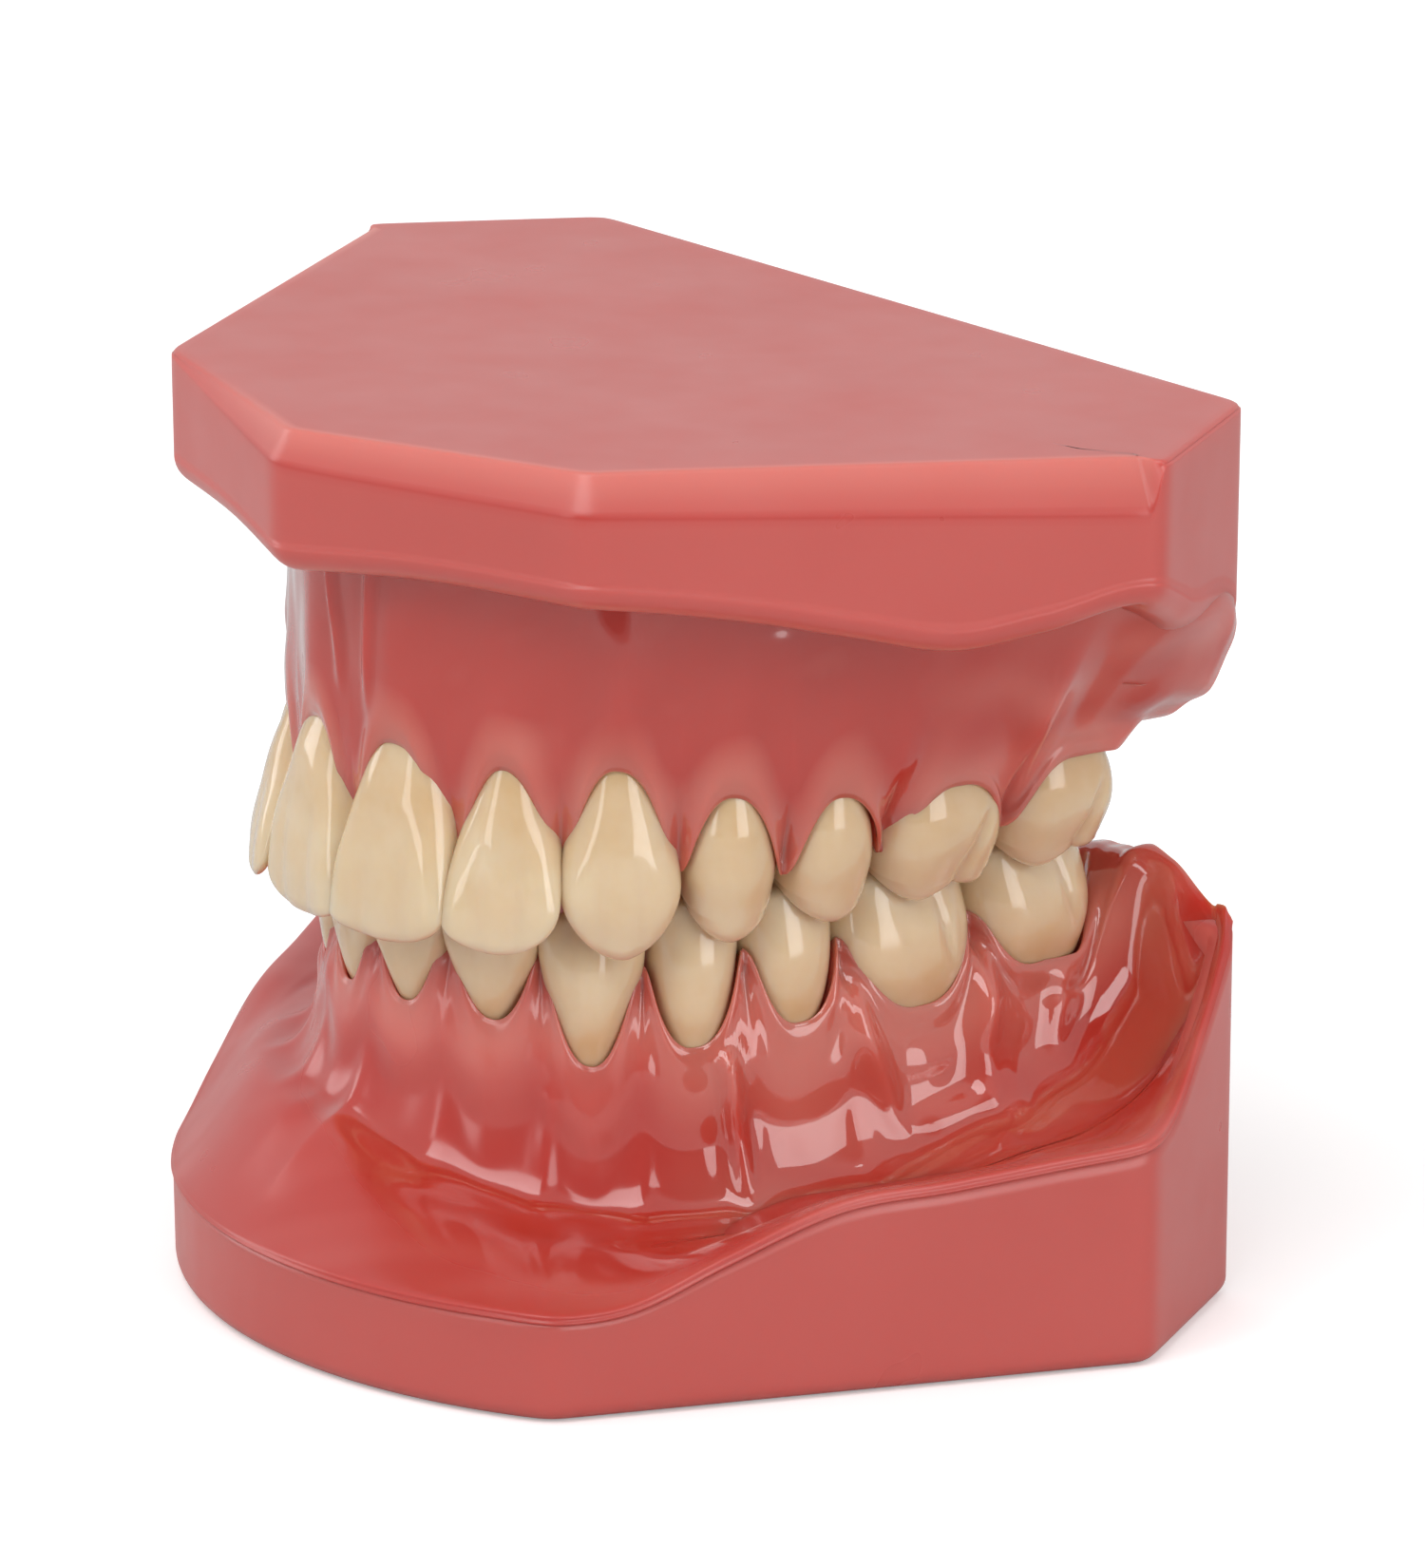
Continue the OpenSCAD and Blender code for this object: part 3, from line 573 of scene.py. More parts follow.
def make_tooth(site, side):
    front = f"{site.jaw}_{site.kind}" in FRONT
    points, faces, up = front_tooth(site) if front else cheek_tooth(site)
    x, y, z = points.T
    lean = LEAN[site.jaw].get(site.kind, 0.0)
    if side == "right" and site.jaw == "upper":
        lean += RIGHT_LEAN.get(site.kind, 0.0)
    y = y + lean * np.where(z > 0, z, 0.3 * z)
    # Crowns that lean out spread apart, so they widen to keep touching
    x = x * (1 + lean * np.clip(z, 0, None) * site.turn / site.width) + site.shift
    seed = KINDS.index(site.kind)
    seed += 10 if side == "left" else 20
    seed += 40 if site.jaw == "upper" else 0
    y = y + 0.05 * waves(x, y, z, 4.0, seed) * smooth(z, 0.5, 2.0)
    plan = site.centre + np.outer(x, site.heading) + np.outer(y, site.out)
    height = site.way * (site.margin + z)
    flip = site.way < 0
    if side == "right":
        plan[:, 0] *= -1
        flip = not flip
    name = f"{site.jaw}_{side}_{site.kind}"
    place = np.column_stack([plan, height])
    return make_piece(f"{name}_tooth", place, faces, TOOTH, BODY[site.jaw], name,
                      flip=not flip, shade={"up": up})


for row in SITES.values():
    for site in row:
        for side in ("left", "right"):
            make_tooth(site, side)


# ---- Gums --------------------------------------------------------------------------------

STEP = 0.18
BACK_Y = node_points("lower_base")[:, 1].max()
TOP_Z = node_points("upper_base")[:, 2].max()


def catmull(points, per_span):
    """Smooth curve through columns of control points, as [rows, columns, 3]."""
    first = 2 * points[:, :1] - points[:, 1:2]
    last = 2 * points[:, -1:] - points[:, -2:-1]
    p = np.concatenate([first, points, last], 1)
    spans = points.shape[1] - 1
    out = []
    at = []
    for k in range(spans):
        count = per_span[k]
        t = (np.arange(count) / count)[None, :, None]
        a, b, c, d = (p[:, k + j][:, None] for j in range(4))
        out.append(0.5 * (2 * b + (c - a) * t + (2 * a - 5 * b + 4 * c - d) * t ** 2
                          + (3 * b - a - 3 * c + d) * t ** 3))
        at.append(k + t[0, :, 0])
    out.append(p[:, spans + 1:spans + 2])
    at.append(np.array([float(spans)]))
    return np.concatenate(out, 1), np.concatenate(at)


class Arch:
    """The line of tooth necks of one jaw and everything measured along it. s is the distance
    from the midline in mm, negative on the right."""

    def __init__(self, jaw, back):
        row = SITES[jaw]
        self.row = row
        self.way = WAY[jaw]
        self.total = row[-1].start + row[-1].width
        tail = row[-1].centre + row[-1].heading * back
        left = [(t.middle, *t.centre) for t in row] + [(row[-1].middle + back, *tail)]
        full = [(-s, -x, y) for s, x, y in reversed(left)] + left
        self.xs = [(s, x) for s, x, y in full]
        self.ys = [(s, y) for s, x, y in full]

    def lay(self, s):
        """Plan points and outward directions at distances s."""
        step = 0.05
        here = np.stack([curve(self.xs, s), curve(self.ys, s)], -1)
        ahead = np.stack([curve(self.xs, s + step), curve(self.ys, s + step)], -1)
        behind = np.stack([curve(self.xs, s - step), curve(self.ys, s - step)], -1)
        way = ahead - behind
        way /= np.linalg.norm(way, axis=-1, keepdims=True)
        return here, np.stack([way[..., 1], -way[..., 0]], -1)

    def along(self, values, s):
        """Smooth value along the arch from one value per tooth, the same on both sides."""
        return curve([(t.middle, v) for t, v in zip(self.row, values)], np.abs(s))

    def share(self, s):
        """How far s is from the middle of its tooth: 0 there, 1 at a contact."""
        a = np.abs(s)
        result = np.zeros_like(a)
        for t in self.row:
            inside = (a >= t.start) & (a < t.start + t.width)
            result = np.where(inside, np.abs(a - t.middle) / (t.width / 2), result)
        past = a >= self.total
        return np.where(past, np.clip(1 - (a - self.total) / 1.5, 0, 1), result)

    def scallop(self, s, tips, bends):
        """How far the margin climbs towards the biting edge between the teeth. tips are the
        heights of the papillae from the midline back, and bends the power that makes the arch
        over each tooth a V or a U."""
        a = np.abs(s)
        share = self.share(s)
        share = share - np.clip(share - 0.80, 0, None) ** 2 / 0.40
        result = np.zeros_like(a)
        for k, (t, bend) in enumerate(zip(self.row, bends)):
            climb = (share / 0.9) ** bend
            tip = np.where(a < t.middle, tips[k], tips[k + 1])
            inside = (a >= t.start) & (a < t.start + t.width)
            result = np.where(inside, tip * climb, result)
        return np.where(a >= self.total, tips[-1] * smooth(share, 0, 1), result)

    def between(self, s):
        """Like share, but falling away again behind the last tooth instead of at a contact."""
        return self.share(s) * (1 - smooth(np.abs(s), self.row[-1].middle, self.total))

    def roots(self, s, sizes):
        """Swelling over each root."""
        return sum(v * bell(np.abs(s), t.middle, 0.30 * t.width) for t, v in zip(self.row, sizes))


def plan_outline(node):
    """Convex outline of a base in plan, as corners going anticlockwise."""
    points = sorted(set(map(tuple, np.round(node_points(node)[:, :2], 3))))

    def half(sequence):
        chain = []
        for p in sequence:
            while len(chain) > 1:
                (ax, ay), (bx, by) = chain[-2], chain[-1]
                if (bx - ax) * (p[1] - ay) - (by - ay) * (p[0] - ax) > 1e-3:
                    break
                chain.pop()
            chain.append(p)
        return chain[:-1]

    return np.array(half(points) + half(points[::-1]))


def rounded(corners, count, radius):
    """Evenly spaced points around an outline with its corners eased over about a radius."""
    loop = np.vstack([corners, corners[:1]])
    length = np.r_[0, np.cumsum(np.linalg.norm(np.diff(loop, axis=0), axis=1))]
    at = np.arange(count) * length[-1] / count
    even = np.stack([np.interp(at, length, loop[:, k]) for k in (0, 1)], -1)
    reach = radius / (length[-1] / count)
    offsets = np.arange(-int(3 * reach), int(3 * reach) + 1)
    weights = np.exp(-0.5 * (offsets / reach) ** 2)
    weights /= weights.sum()
    return sum(w * np.roll(even, k, axis=0) for k, w in zip(offsets, weights))


def outward(loop):
    """Outward directions of an outline, turning gradually round its corners."""
    way = np.roll(loop, -1, axis=0) - np.roll(loop, 1, axis=0)
    way = sum(np.roll(way, k, axis=0) for k in range(-8, 9))
    way /= np.linalg.norm(way, axis=1, keepdims=True)
    return np.stack([way[:, 1], -way[:, 0]], 1)


def opened(corners):
    """An outline with its back wall moved further back along the heel walls."""
    result = corners.copy()
    for k in np.flatnonzero(corners[:, 1] > BACK_Y - 0.01):
        heel = corners[(corners[:, 0] * np.sign(corners[k, 0])).argmax()]
        result[k] += 0.5 * (corners[k] - heel)
    return result


def reach_to(node, start, way):
    """Distance outwards from points to the side walls of a base, carried on past its back."""
    loop = rounded(opened(plan_outline(node)), 900, 0.9)
    d = np.roll(loop, -1, axis=0) - loop
    best = np.full(len(start), 60.0)
    for k, (p, w) in enumerate(zip(start, way)):
        cross = w[0] * d[:, 1] - w[1] * d[:, 0]
        cross = np.where(np.abs(cross) < 1e-9, 1e-9, cross)
        q = loop - p
        t = (q[:, 0] * d[:, 1] - q[:, 1] * d[:, 0]) / cross
        u = (q[:, 0] * w[1] - q[:, 1] * w[0]) / cross
        hit = (u >= 0) & (u < 1) & (t > 0)
        if hit.any():
            best[k] = t[hit].min()
    at_wall = start[:, 1] + best * way[:, 1]
    return best - 0.6 * smooth(at_wall, BACK_Y - 1.6, BACK_Y)


# Heights of the bases' rims, as (distance behind the origin, height)
LOWER_RIM = [(-28, 7.4), (-20, 7.6), (-14, 10.2), (-7, 13.0), (0, 13.7), (6, 14.4), (12.4, 15.2),
             (16, 16.2), (21, 20.2), (26.6, 25.6)]
UPPER_SKIRT = [(-27, 50.2), (-23, 51.0), (-19, 50.8), (-14, 50.3), (-9, 49.5), (-4, 48.4),
               (1.5, 47.4), (6, 48.4), (12.4, 50.0), (15, 48.9), (18.9, 46.8), (24.2, 43.3),
               (26.6, 41.4)]
UPPER_OUT = rounded(plan_outline("upper_base"), 900, 0.9)
LOWER_OUT = rounded(plan_outline("lower_base"), 900, 0.9)


def folds(s, z, strokes):
    """Soft ridges drawn on a gum: each stroke is (s, z, s, z, height, width)."""
    total = np.zeros_like(z)
    for s0, z0, s1, z1, height, width in strokes:
        ds, dz = s1 - s0, z1 - z0
        t = np.clip(((s - s0) * ds + (z - z0) * dz) / (ds * ds + dz * dz), 0, 1)
        gap = (s - s0 - t * ds) ** 2 + (z - z0 - t * dz) ** 2
        total = total + height * (1 - 0.8 * t ** 3) * np.exp(-gap / width ** 2)
    return total


def gum_tube(name, node, jaw, controls, spans, s, detail, wet, pale):
    """Closed tube through control points given as [rows, columns, 3]. detail returns how far
    each point moves outwards, and wet and pale its material attributes."""
    grid, at = catmull(controls, spans)
    _, out = ARCHES[jaw].lay(s)
    ss = np.repeat(s[:, None], grid.shape[1], 1)
    column = np.repeat(at[None], grid.shape[0], 0)
    push = detail(ss, column, grid)
    grid[..., 0] += push * out[:, None, 0]
    grid[..., 1] += push * out[:, None, 1]
    rows, columns = grid.shape[:2]
    faces = sheet_faces(rows, columns).tolist()
    faces.append(tuple(range(columns - 1, -1, -1)))
    faces.append(tuple(range((rows - 1) * columns, rows * columns)))
    shade = {"wet": wet(ss, column, grid), "pale": pale(ss, column, grid)}
    flip = WAY[jaw] < 0
    return make_piece(name, grid.reshape(-1, 3), faces, RESIN, BODY[jaw], node,
                      flip=flip, shade=shade, back=BACK_Y - 0.06)


ARCHES = {"upper": Arch("upper", 18.0), "lower": Arch("lower", 18.0)}


def easing(past):
    """Blend from the gum round the teeth to the rounded gum behind the last one."""
    def eased(by_tooth, behind):
        return by_tooth + (behind - by_tooth) * past
    return eased


def in_plan(here, out, offset, z):
    """Points at an offset from the arch line."""
    return np.stack([here[:, 0] + offset * out[:, 0], here[:, 1] + offset * out[:, 1],
                     np.broadcast_to(z, offset.shape)], -1)


# Heights of the papillae from the midline back, and the bend of the arch over each tooth
UPPER_TIPS = [8.6, 8.6, 6.8, 6.2, 5.6, 4.6, 4.4, 0.2]
UPPER_BENDS = [2.7, 2.0, 2.5, 2.3, 2.2, 2.6, 2.6]
UPPER_ROOTS = [0.45, 0.30, 0.80, 0.45, 0.30, 0.25, 0.1]
# Share of the way from the necks out to the base's wall where the gum meets the base
UPPER_SPREAD = [(0, 0.02), (24, 0.03), (30, 0.08), (35, 0.20), (40, 0.38), (45, 0.60),
                (50, 0.84), (54, 0.97), (57, 1.0)]
# How far the papillae stand back between the teeth
PAPILLA_IN = [(0, 1.3), (25, 1.8), (36, 2.6), (60, 2.6)]
PALATE_TOP = 46.0
UPPER_HIDDEN = 52.0


def end_station(arch):
    """Distance along the arch a little past the point where it comes to the back wall."""
    last = arch.row[-1]
    return last.middle + (BACK_Y + 4.0 - last.centre[1]) / last.heading[1]


def upper_gum():
    """Gum of the upper jaw: cheek side, crest between the teeth, and palate."""
    arch = ARCHES["upper"]
    end = end_station(arch)
    s = np.linspace(-end, end, int(2 * end / STEP))
    here, out = arch.lay(s)
    row = arch.row
    share = arch.share(s)
    past = smooth(np.abs(s), arch.total - 1.5, arch.total + 2.0)
    zm = 0.6 * past - arch.along([t.margin for t in row], s)
    zm = zm - arch.scallop(s, UPPER_TIPS, UPPER_BENDS)
    neck = arch.along([t.neck_out for t in row], s)
    face = neck - curve(PAPILLA_IN, np.abs(s)) * arch.between(s) ** 4.5
    wall = reach_to("upper_base", here, out)
    skirt = curve(UPPER_SKIRT, here[:, 1] + wall * out[:, 1])
    heel = smooth(np.abs(s), 50, 56)
    vest = neck + 0.25 + (wall - 0.06 - neck - 0.25) * curve(UPPER_SPREAD, np.abs(s))
    join = skirt + 1.3 + 2.6 * heel
    back = -neck
    zi = zm + 0.6 * share
    crest = zm + (0.5 + 1.6 * (1 - share)) * (1 - past) - 0.25 * past
    inner_x = here[:, 0] + (back - 2.0) * out[:, 0]
    inner_y = here[:, 1] + (back - 2.0) * out[:, 1]
    mid_y = curve([(0, -13.5), (12, -7.0), (26, 2.0), (45, 18), (end, BACK_Y + 3.0)], np.abs(s))
    vault = curve([(0, 40.5), (8, 43.5), (20, PALATE_TOP), (45, PALATE_TOP), (60, 44.0)], np.abs(s))

    def toward_middle(q, z):
        return np.stack([inner_x * (1 - q), inner_y * (1 - q) + mid_y * q, z + 0 * q], -1)

    def between(q):
        return vest + (neck + 0.45 - vest) * q

    eased = easing(past)
    high = join - zm
    controls = np.stack([
        in_plan(here, out, vest - 1.5, UPPER_HIDDEN),
        in_plan(here, out, vest - 0.1, join + 0.8),
        in_plan(here, out, vest, join - 1.0),
        in_plan(here, out, between(0.34 - 0.14 * heel), zm + high * 0.66),
        in_plan(here, out, between(0.74 - 0.22 * heel), zm + high * 0.36),
        in_plan(here, out, eased(face + 0.55, 5.6), zm + 1.9),
        in_plan(here, out, eased(face + 0.42, 4.0), zm + 0.75),
        in_plan(here, out, eased(face + 0.26, 2.6), zm + 0.15),
        in_plan(here, out, eased(face - 0.05, 1.2), zm + 0.05 - 0.30 * past),
        in_plan(here, out, eased(face - 0.9, 0.0), crest),
        in_plan(here, out, eased(back * 0.3, -1.4), crest + 0.3 - 0.2 * past),
        in_plan(here, out, eased(back - 0.1, -2.9), zi + 0.1 + 0.4 * past),
        in_plan(here, out, eased(back - 0.5, -4.1), zi + 0.3 + 1.0 * past),
        in_plan(here, out, eased(back - 1.1, -5.3), zi + 2.2 + 0.8 * past),
        toward_middle(0.0, (zi * 0.55 + vault * 0.45)),
        toward_middle(0.22, (zi * 0.18 + vault * 0.82)),
        toward_middle(0.6, vault + 0.2),
        toward_middle(1.0, vault + 0.3),
        toward_middle(1.0, UPPER_HIDDEN + 0 * vault),
    ], 1)
    spans = [3, 5, 16, 14, 14, 12, 8, 6, 6, 4, 4, 6, 6, 8, 12, 16, 16, 3]

    def detail(ss, column, grid):
        z = grid[..., 2]
        outer = smooth(column, 1.5, 2.5) * (1 - smooth(column, 5.6, 6.8))
        low = (z - zm[:, None]) / high[:, None]
        body = smooth(low, 0.02, 0.30) * (1 - smooth(low, 0.55, 0.95))
        lift = arch.roots(ss, UPPER_ROOTS) * body - 0.30 * body
        lift = lift + folds(ss, z, UPPER_FOLDS)
        ripple = 0.06 + 0.07 * (1 - smooth(np.abs(ss), 30, 38))
        ripple = ripple * waves(grid[..., 0], grid[..., 1], z, 5.0, 3)
        lift = lift + ripple * smooth(low, 0.05, 0.3)
        return lift * outer * (1 - past[:, None])

    def wet(ss, column, grid):
        return 1 - 0.65 * smooth(np.abs(ss), 33, 45)

    def pale(ss, column, grid):
        z = grid[..., 2]
        low = (z - zm[:, None]) / high[:, None]
        mottle = 0.25 * waves(grid[..., 0], grid[..., 1], z, 6.0, 8)
        red = smooth(low, 0.02, 0.42) * (1 - 0.75 * smooth(np.abs(ss), 32, 46))
        return np.clip(0.85 - red + mottle, 0, 1)

    return gum_tube("upper_gum_shape", "upper_gum", "upper", controls, spans, s, detail, wet, pale)


# Strokes on the upper gum: the folds of the lip frenum and the cheek frena
UPPER_FOLDS = [
    (-1.6, 51.0, -0.9, 42.0, 0.60, 0.45), (2.6, 51.0, 1.9, 41.0, 0.60, 0.45),
    (28.0, 46.5, 28.2, 40.5, 0.25, 1.10), (-28.0, 46.5, -28.2, 40.5, 0.25, 1.10),
]
# Strokes on the lower gum: the cheek frenum and the webs below the molars
LOWER_FOLDS = [
    (22.6, 18.5, 23.4, 8.6, 1.1, 0.55), (-22.6, 18.5, -23.4, 8.6, 0.9, 0.7),
    (30.2, 21.5, 32.5, 12.5, 0.8, 0.9), (40.0, 22.5, 38.6, 14.5, 0.8, 1.0),
    (-30.2, 21.5, -32.5, 12.5, 0.8, 0.9), (-40.0, 22.5, -38.6, 14.5, 0.8, 1.0),
    (38.6, 14.5, 33.0, 13.0, 0.5, 0.8), (46.0, 20.5, 44.0, 15.5, 0.5, 0.9),
    (12.2, 16.0, 12.0, 10.0, 0.25, 0.6),
]
# Heights of the papillae from the midline back, and the bend of the arch under each tooth
LOWER_TIPS = [5.6, 5.6, 5.6, 6.0, 5.4, 4.8, 4.4, 0.6]
LOWER_BENDS = [2.2, 2.2, 2.4, 2.4, 2.4, 2.8, 2.8]
LOWER_ROOTS = [0.45, 0.45, 0.70, 0.40, 0.30, 0.25, 0.1]
# Height of the bottom of the trough outside the ridge, and its distance out from the necks
TROUGH_Z = [(0, 13.0), (6, 10.6), (12, 8.9), (19, 8.3), (25.4, 9.0), (32, 10.4), (37, 12.0),
            (42.4, 13.3), (46, 14.8), (49, 17.5), (52, 22.0), (54.5, 26.4)]
TROUGH_OUT = [(0, 4.3), (12, 4.6), (19, 4.8), (26, 5.4), (34, 6.4), (44, 8.0), (50, 8.0), (54, 6.0)]
# Control column from which the gum is glossy, along the arch
GLOSS_FROM = [(-60, 3.7), (-44, 3.8), (-34, 6.6), (-2, 6.6), (4, 5.4), (9, 4.4), (18, 3.8),
              (60, 3.7)]
TONGUE_FLOOR = 9.6
PAD_TOP = 27.7


def lower_gum():
    """Gum of the lower jaw: shelf, trough, ridge, crest between the teeth, and tongue side."""
    arch = ARCHES["lower"]
    end = end_station(arch)
    s = np.linspace(-end, end, int(2 * end / STEP))
    here, out = arch.lay(s)
    row = arch.row
    share = arch.share(s)
    past = smooth(np.abs(s), arch.total - 2.4, arch.total + 2.6)
    zm = arch.along([t.margin for t in row], s) + arch.scallop(s, LOWER_TIPS, LOWER_BENDS)
    zm = zm * (1 - past) + past * PAD_TOP
    neck = arch.along([t.neck_out for t in row], s)
    face = neck - curve(PAPILLA_IN, np.abs(s)) * arch.between(s) ** 4.5
    wall = reach_to("lower_base", here, out)
    rim = curve(LOWER_RIM, here[:, 1] + wall * out[:, 1])
    trough = np.minimum(neck + curve(TROUGH_OUT, np.abs(s)), wall - 2.2)
    zt = curve(TROUGH_Z, np.abs(s))
    filled = smooth(-s, -1.0, 3.0) * (1 - smooth(-s, 34, 44))
    zt = zt + (np.maximum(13.2, zt) - zt) * filled
    back = -neck
    # The points between the thin incisors stand lower on the tongue side
    tongue_drop = (1 - smooth(np.abs(s), 15, 22)) * share ** 3
    zi = zm - 0.4 * share - 4.2 * tongue_drop
    crest = zm - (0.5 + 1.6 * (1 - share)) * (1 - past) + 0.3 * past
    high = zm - zt
    shelf = wall - trough
    late = smooth(np.abs(s), 50.0, 54.0)
    eased = easing(past)
    controls = np.stack([
        in_plan(here, out, wall - 2.6, rim - 1.8),
        in_plan(here, out, wall - 0.08, rim - 0.80),
        in_plan(here, out, wall + 0.00, rim - 0.42),
        in_plan(here, out, wall - 0.40, rim - 0.02),
        in_plan(here, out, trough + shelf * 0.66, rim + (zt - rim) * 0.25 + 0.25),
        in_plan(here, out, trough + shelf * 0.30, rim + (zt - rim) * 0.70 + 0.15),
        in_plan(here, out, trough, zt),
        in_plan(here, out, neck + (trough - neck) * 0.48, zt + high * (0.10 + 0.75 * late)),
        in_plan(here, out, neck + (trough - neck) * 0.22, zt + high * (0.34 + 0.76 * late)),
        in_plan(here, out, eased(neck + 0.50 + (trough - neck) * 0.06, 3.9),
                zt + high * (0.62 + 0.30 * past + 0.30 * late)),
        in_plan(here, out, eased(face + 0.55, 2.6), zm - 1.9 + 2.0 * past),
        in_plan(here, out, eased(face + 0.42, 1.6), zm - 0.75 + 0.8 * past),
        in_plan(here, out, eased(face + 0.26, 0.7), zm - 0.15 + 0.1 * past),
        in_plan(here, out, eased(face - 0.05, -0.2), zm - 0.05),
        in_plan(here, out, eased(face - 0.9, -1.1), crest - 1.4 * tongue_drop - 0.5 * past),
        in_plan(here, out, eased(back * 0.3, -2.0), crest - 0.3 - 3.2 * tongue_drop - 0.5 * past),
        in_plan(here, out, eased(back - 0.1, -2.9), zi - 0.1 - 1.0 * past),
        in_plan(here, out, eased(back - 0.5, -3.7), zi - 0.4 - 1.8 * past),
        in_plan(here, out, eased(back - 1.1, -4.8), zi - 3.0 - 2.0 * past),
        in_plan(here, out, back - 1.9, TONGUE_FLOOR + 2.2),
        in_plan(here, out, back - 3.4, TONGUE_FLOOR + 0.3),
        in_plan(here, out, back - 4.6, TONGUE_FLOOR - 0.2),
        in_plan(here, out, back - 4.4, TONGUE_FLOOR - 2.5),
    ], 1)
    spans = [3, 5, 5, 12, 10, 10, 12, 12, 14, 12, 12, 8, 6, 6, 4, 4, 6, 6, 10, 8, 6, 3]

    def detail(ss, column, grid):
        z = grid[..., 2]
        outer = smooth(column, 6.3, 7.5) * (1 - smooth(column, 11.0, 12.0))
        low = (zm[:, None] - z) / high[:, None]
        body = smooth(low, 0.02, 0.30) * (1 - smooth(low, 0.65, 1.0))
        keep = 1 - past[:, None]
        lift = (arch.roots(ss, LOWER_ROOTS) * body - 0.30 * body) * keep
        lift = lift + folds(ss, z, LOWER_FOLDS) * keep
        ripple = 0.06 * waves(grid[..., 0], grid[..., 1], z, 6.0, 5)
        lift = lift + ripple * smooth(low, 0.05, 0.3) * keep
        return lift * outer

    def wet(ss, column, grid):
        edge = curve(GLOSS_FROM, ss)
        satin = (0.62 + 0.18 * (1 - smooth(ss, 2, 8))) * (1 - smooth(ss, 15, 21))
        satin = satin * smooth(column, 6.2, 7.6)
        return smooth(column, edge - 0.5, edge + 0.4) * (1 - satin)

    def pale(ss, column, grid):
        z = grid[..., 2]
        low = (zm[:, None] - z) / high[:, None]
        mottle = 0.25 * waves(grid[..., 0], grid[..., 1], z, 6.0, 9)
        web = 0.30 * smooth(ss, 18, 26) * (1 - smooth(ss, 42, 48))
        return np.clip(0.74 - 0.8 * smooth(low, 0.1, 0.9) + web + mottle, 0, 1)

    return gum_tube("lower_gum_shape", "lower_gum", "lower", controls, spans, s, detail, wet, pale)


# ---- Bases -------------------------------------------------------------------------------

CENTRE = np.array([0.0, 2.0])


def stack_rings(name, node, jaw, rings, flip, painted_light_rings):
    """Closed block from rings of the same count, with a point in the middle of each end.
    The last argument gives the rings whose paleness differs from the plain base, by number; on the
    upper base that paleness is painted light."""
    count = len(rings[0])
    pale = np.full((len(rings), count), 0.5)
    for k, value in painted_light_rings.items():
        pale[k] = value
    points = np.concatenate(rings + [rings[0].mean(0)[None], rings[-1].mean(0)[None]])
    faces = sheet_faces(len(rings), count).tolist()
    first, last = len(points) - 2, len(points) - 1
    tail = (len(rings) - 1) * count
    faces += [(first, (k + 1) % count, k) for k in range(count)]
    faces += [(last, tail + k, tail + (k + 1) % count) for k in range(count)]
    shade = {"wet": np.zeros(len(points)), "pale": np.append(pale.ravel(), [0.5, 0.5])}
    return make_piece(name, points, faces, RESIN, BODY[jaw], node, flip=flip,
                      shade=shade)


def ring_at(loop, way, inset, z):
    plan = loop - way * np.broadcast_to(inset, len(loop))[:, None]
    return np.column_stack([plan, np.broadcast_to(z, len(loop))])


def ring_in(loop, share, z):
    return np.column_stack([CENTRE + (loop - CENTRE) * share, np.broadcast_to(z, len(loop))])


def uneven(ring, size, height, seed):
    x, y, z = ring.T
    ring[:, 2] += height * waves(x, y, z, size, seed)
    return ring


def quarter(count):
    """Inset and drop shares of a quarter-round edge, from the flat face to the wall."""
    a = np.linspace(0, math.pi / 2, count)
    return list(zip(1 - np.sin(a), 1 - np.cos(a)))


def bevel_heights(loop):
    """Height of the bevel along the top edge. It grows from the right canine corner round the
    front and along the left side, and stops short at both heels."""
    x, y = loop.T
    front = curve([(-21.3, 0.3), (0, 2.0), (21.3, 2.5)], x)
    side = curve([(-18.9, 2.5), (12.4, 3.3)], y)
    right = curve([(-18.9, 0.3), (12.4, 2.0)], y)
    height = np.where(y < -18.5, front, np.where(x > 0, side, right))
    return height + (0.35 - height) * smooth(y, 11.6, 12.8)


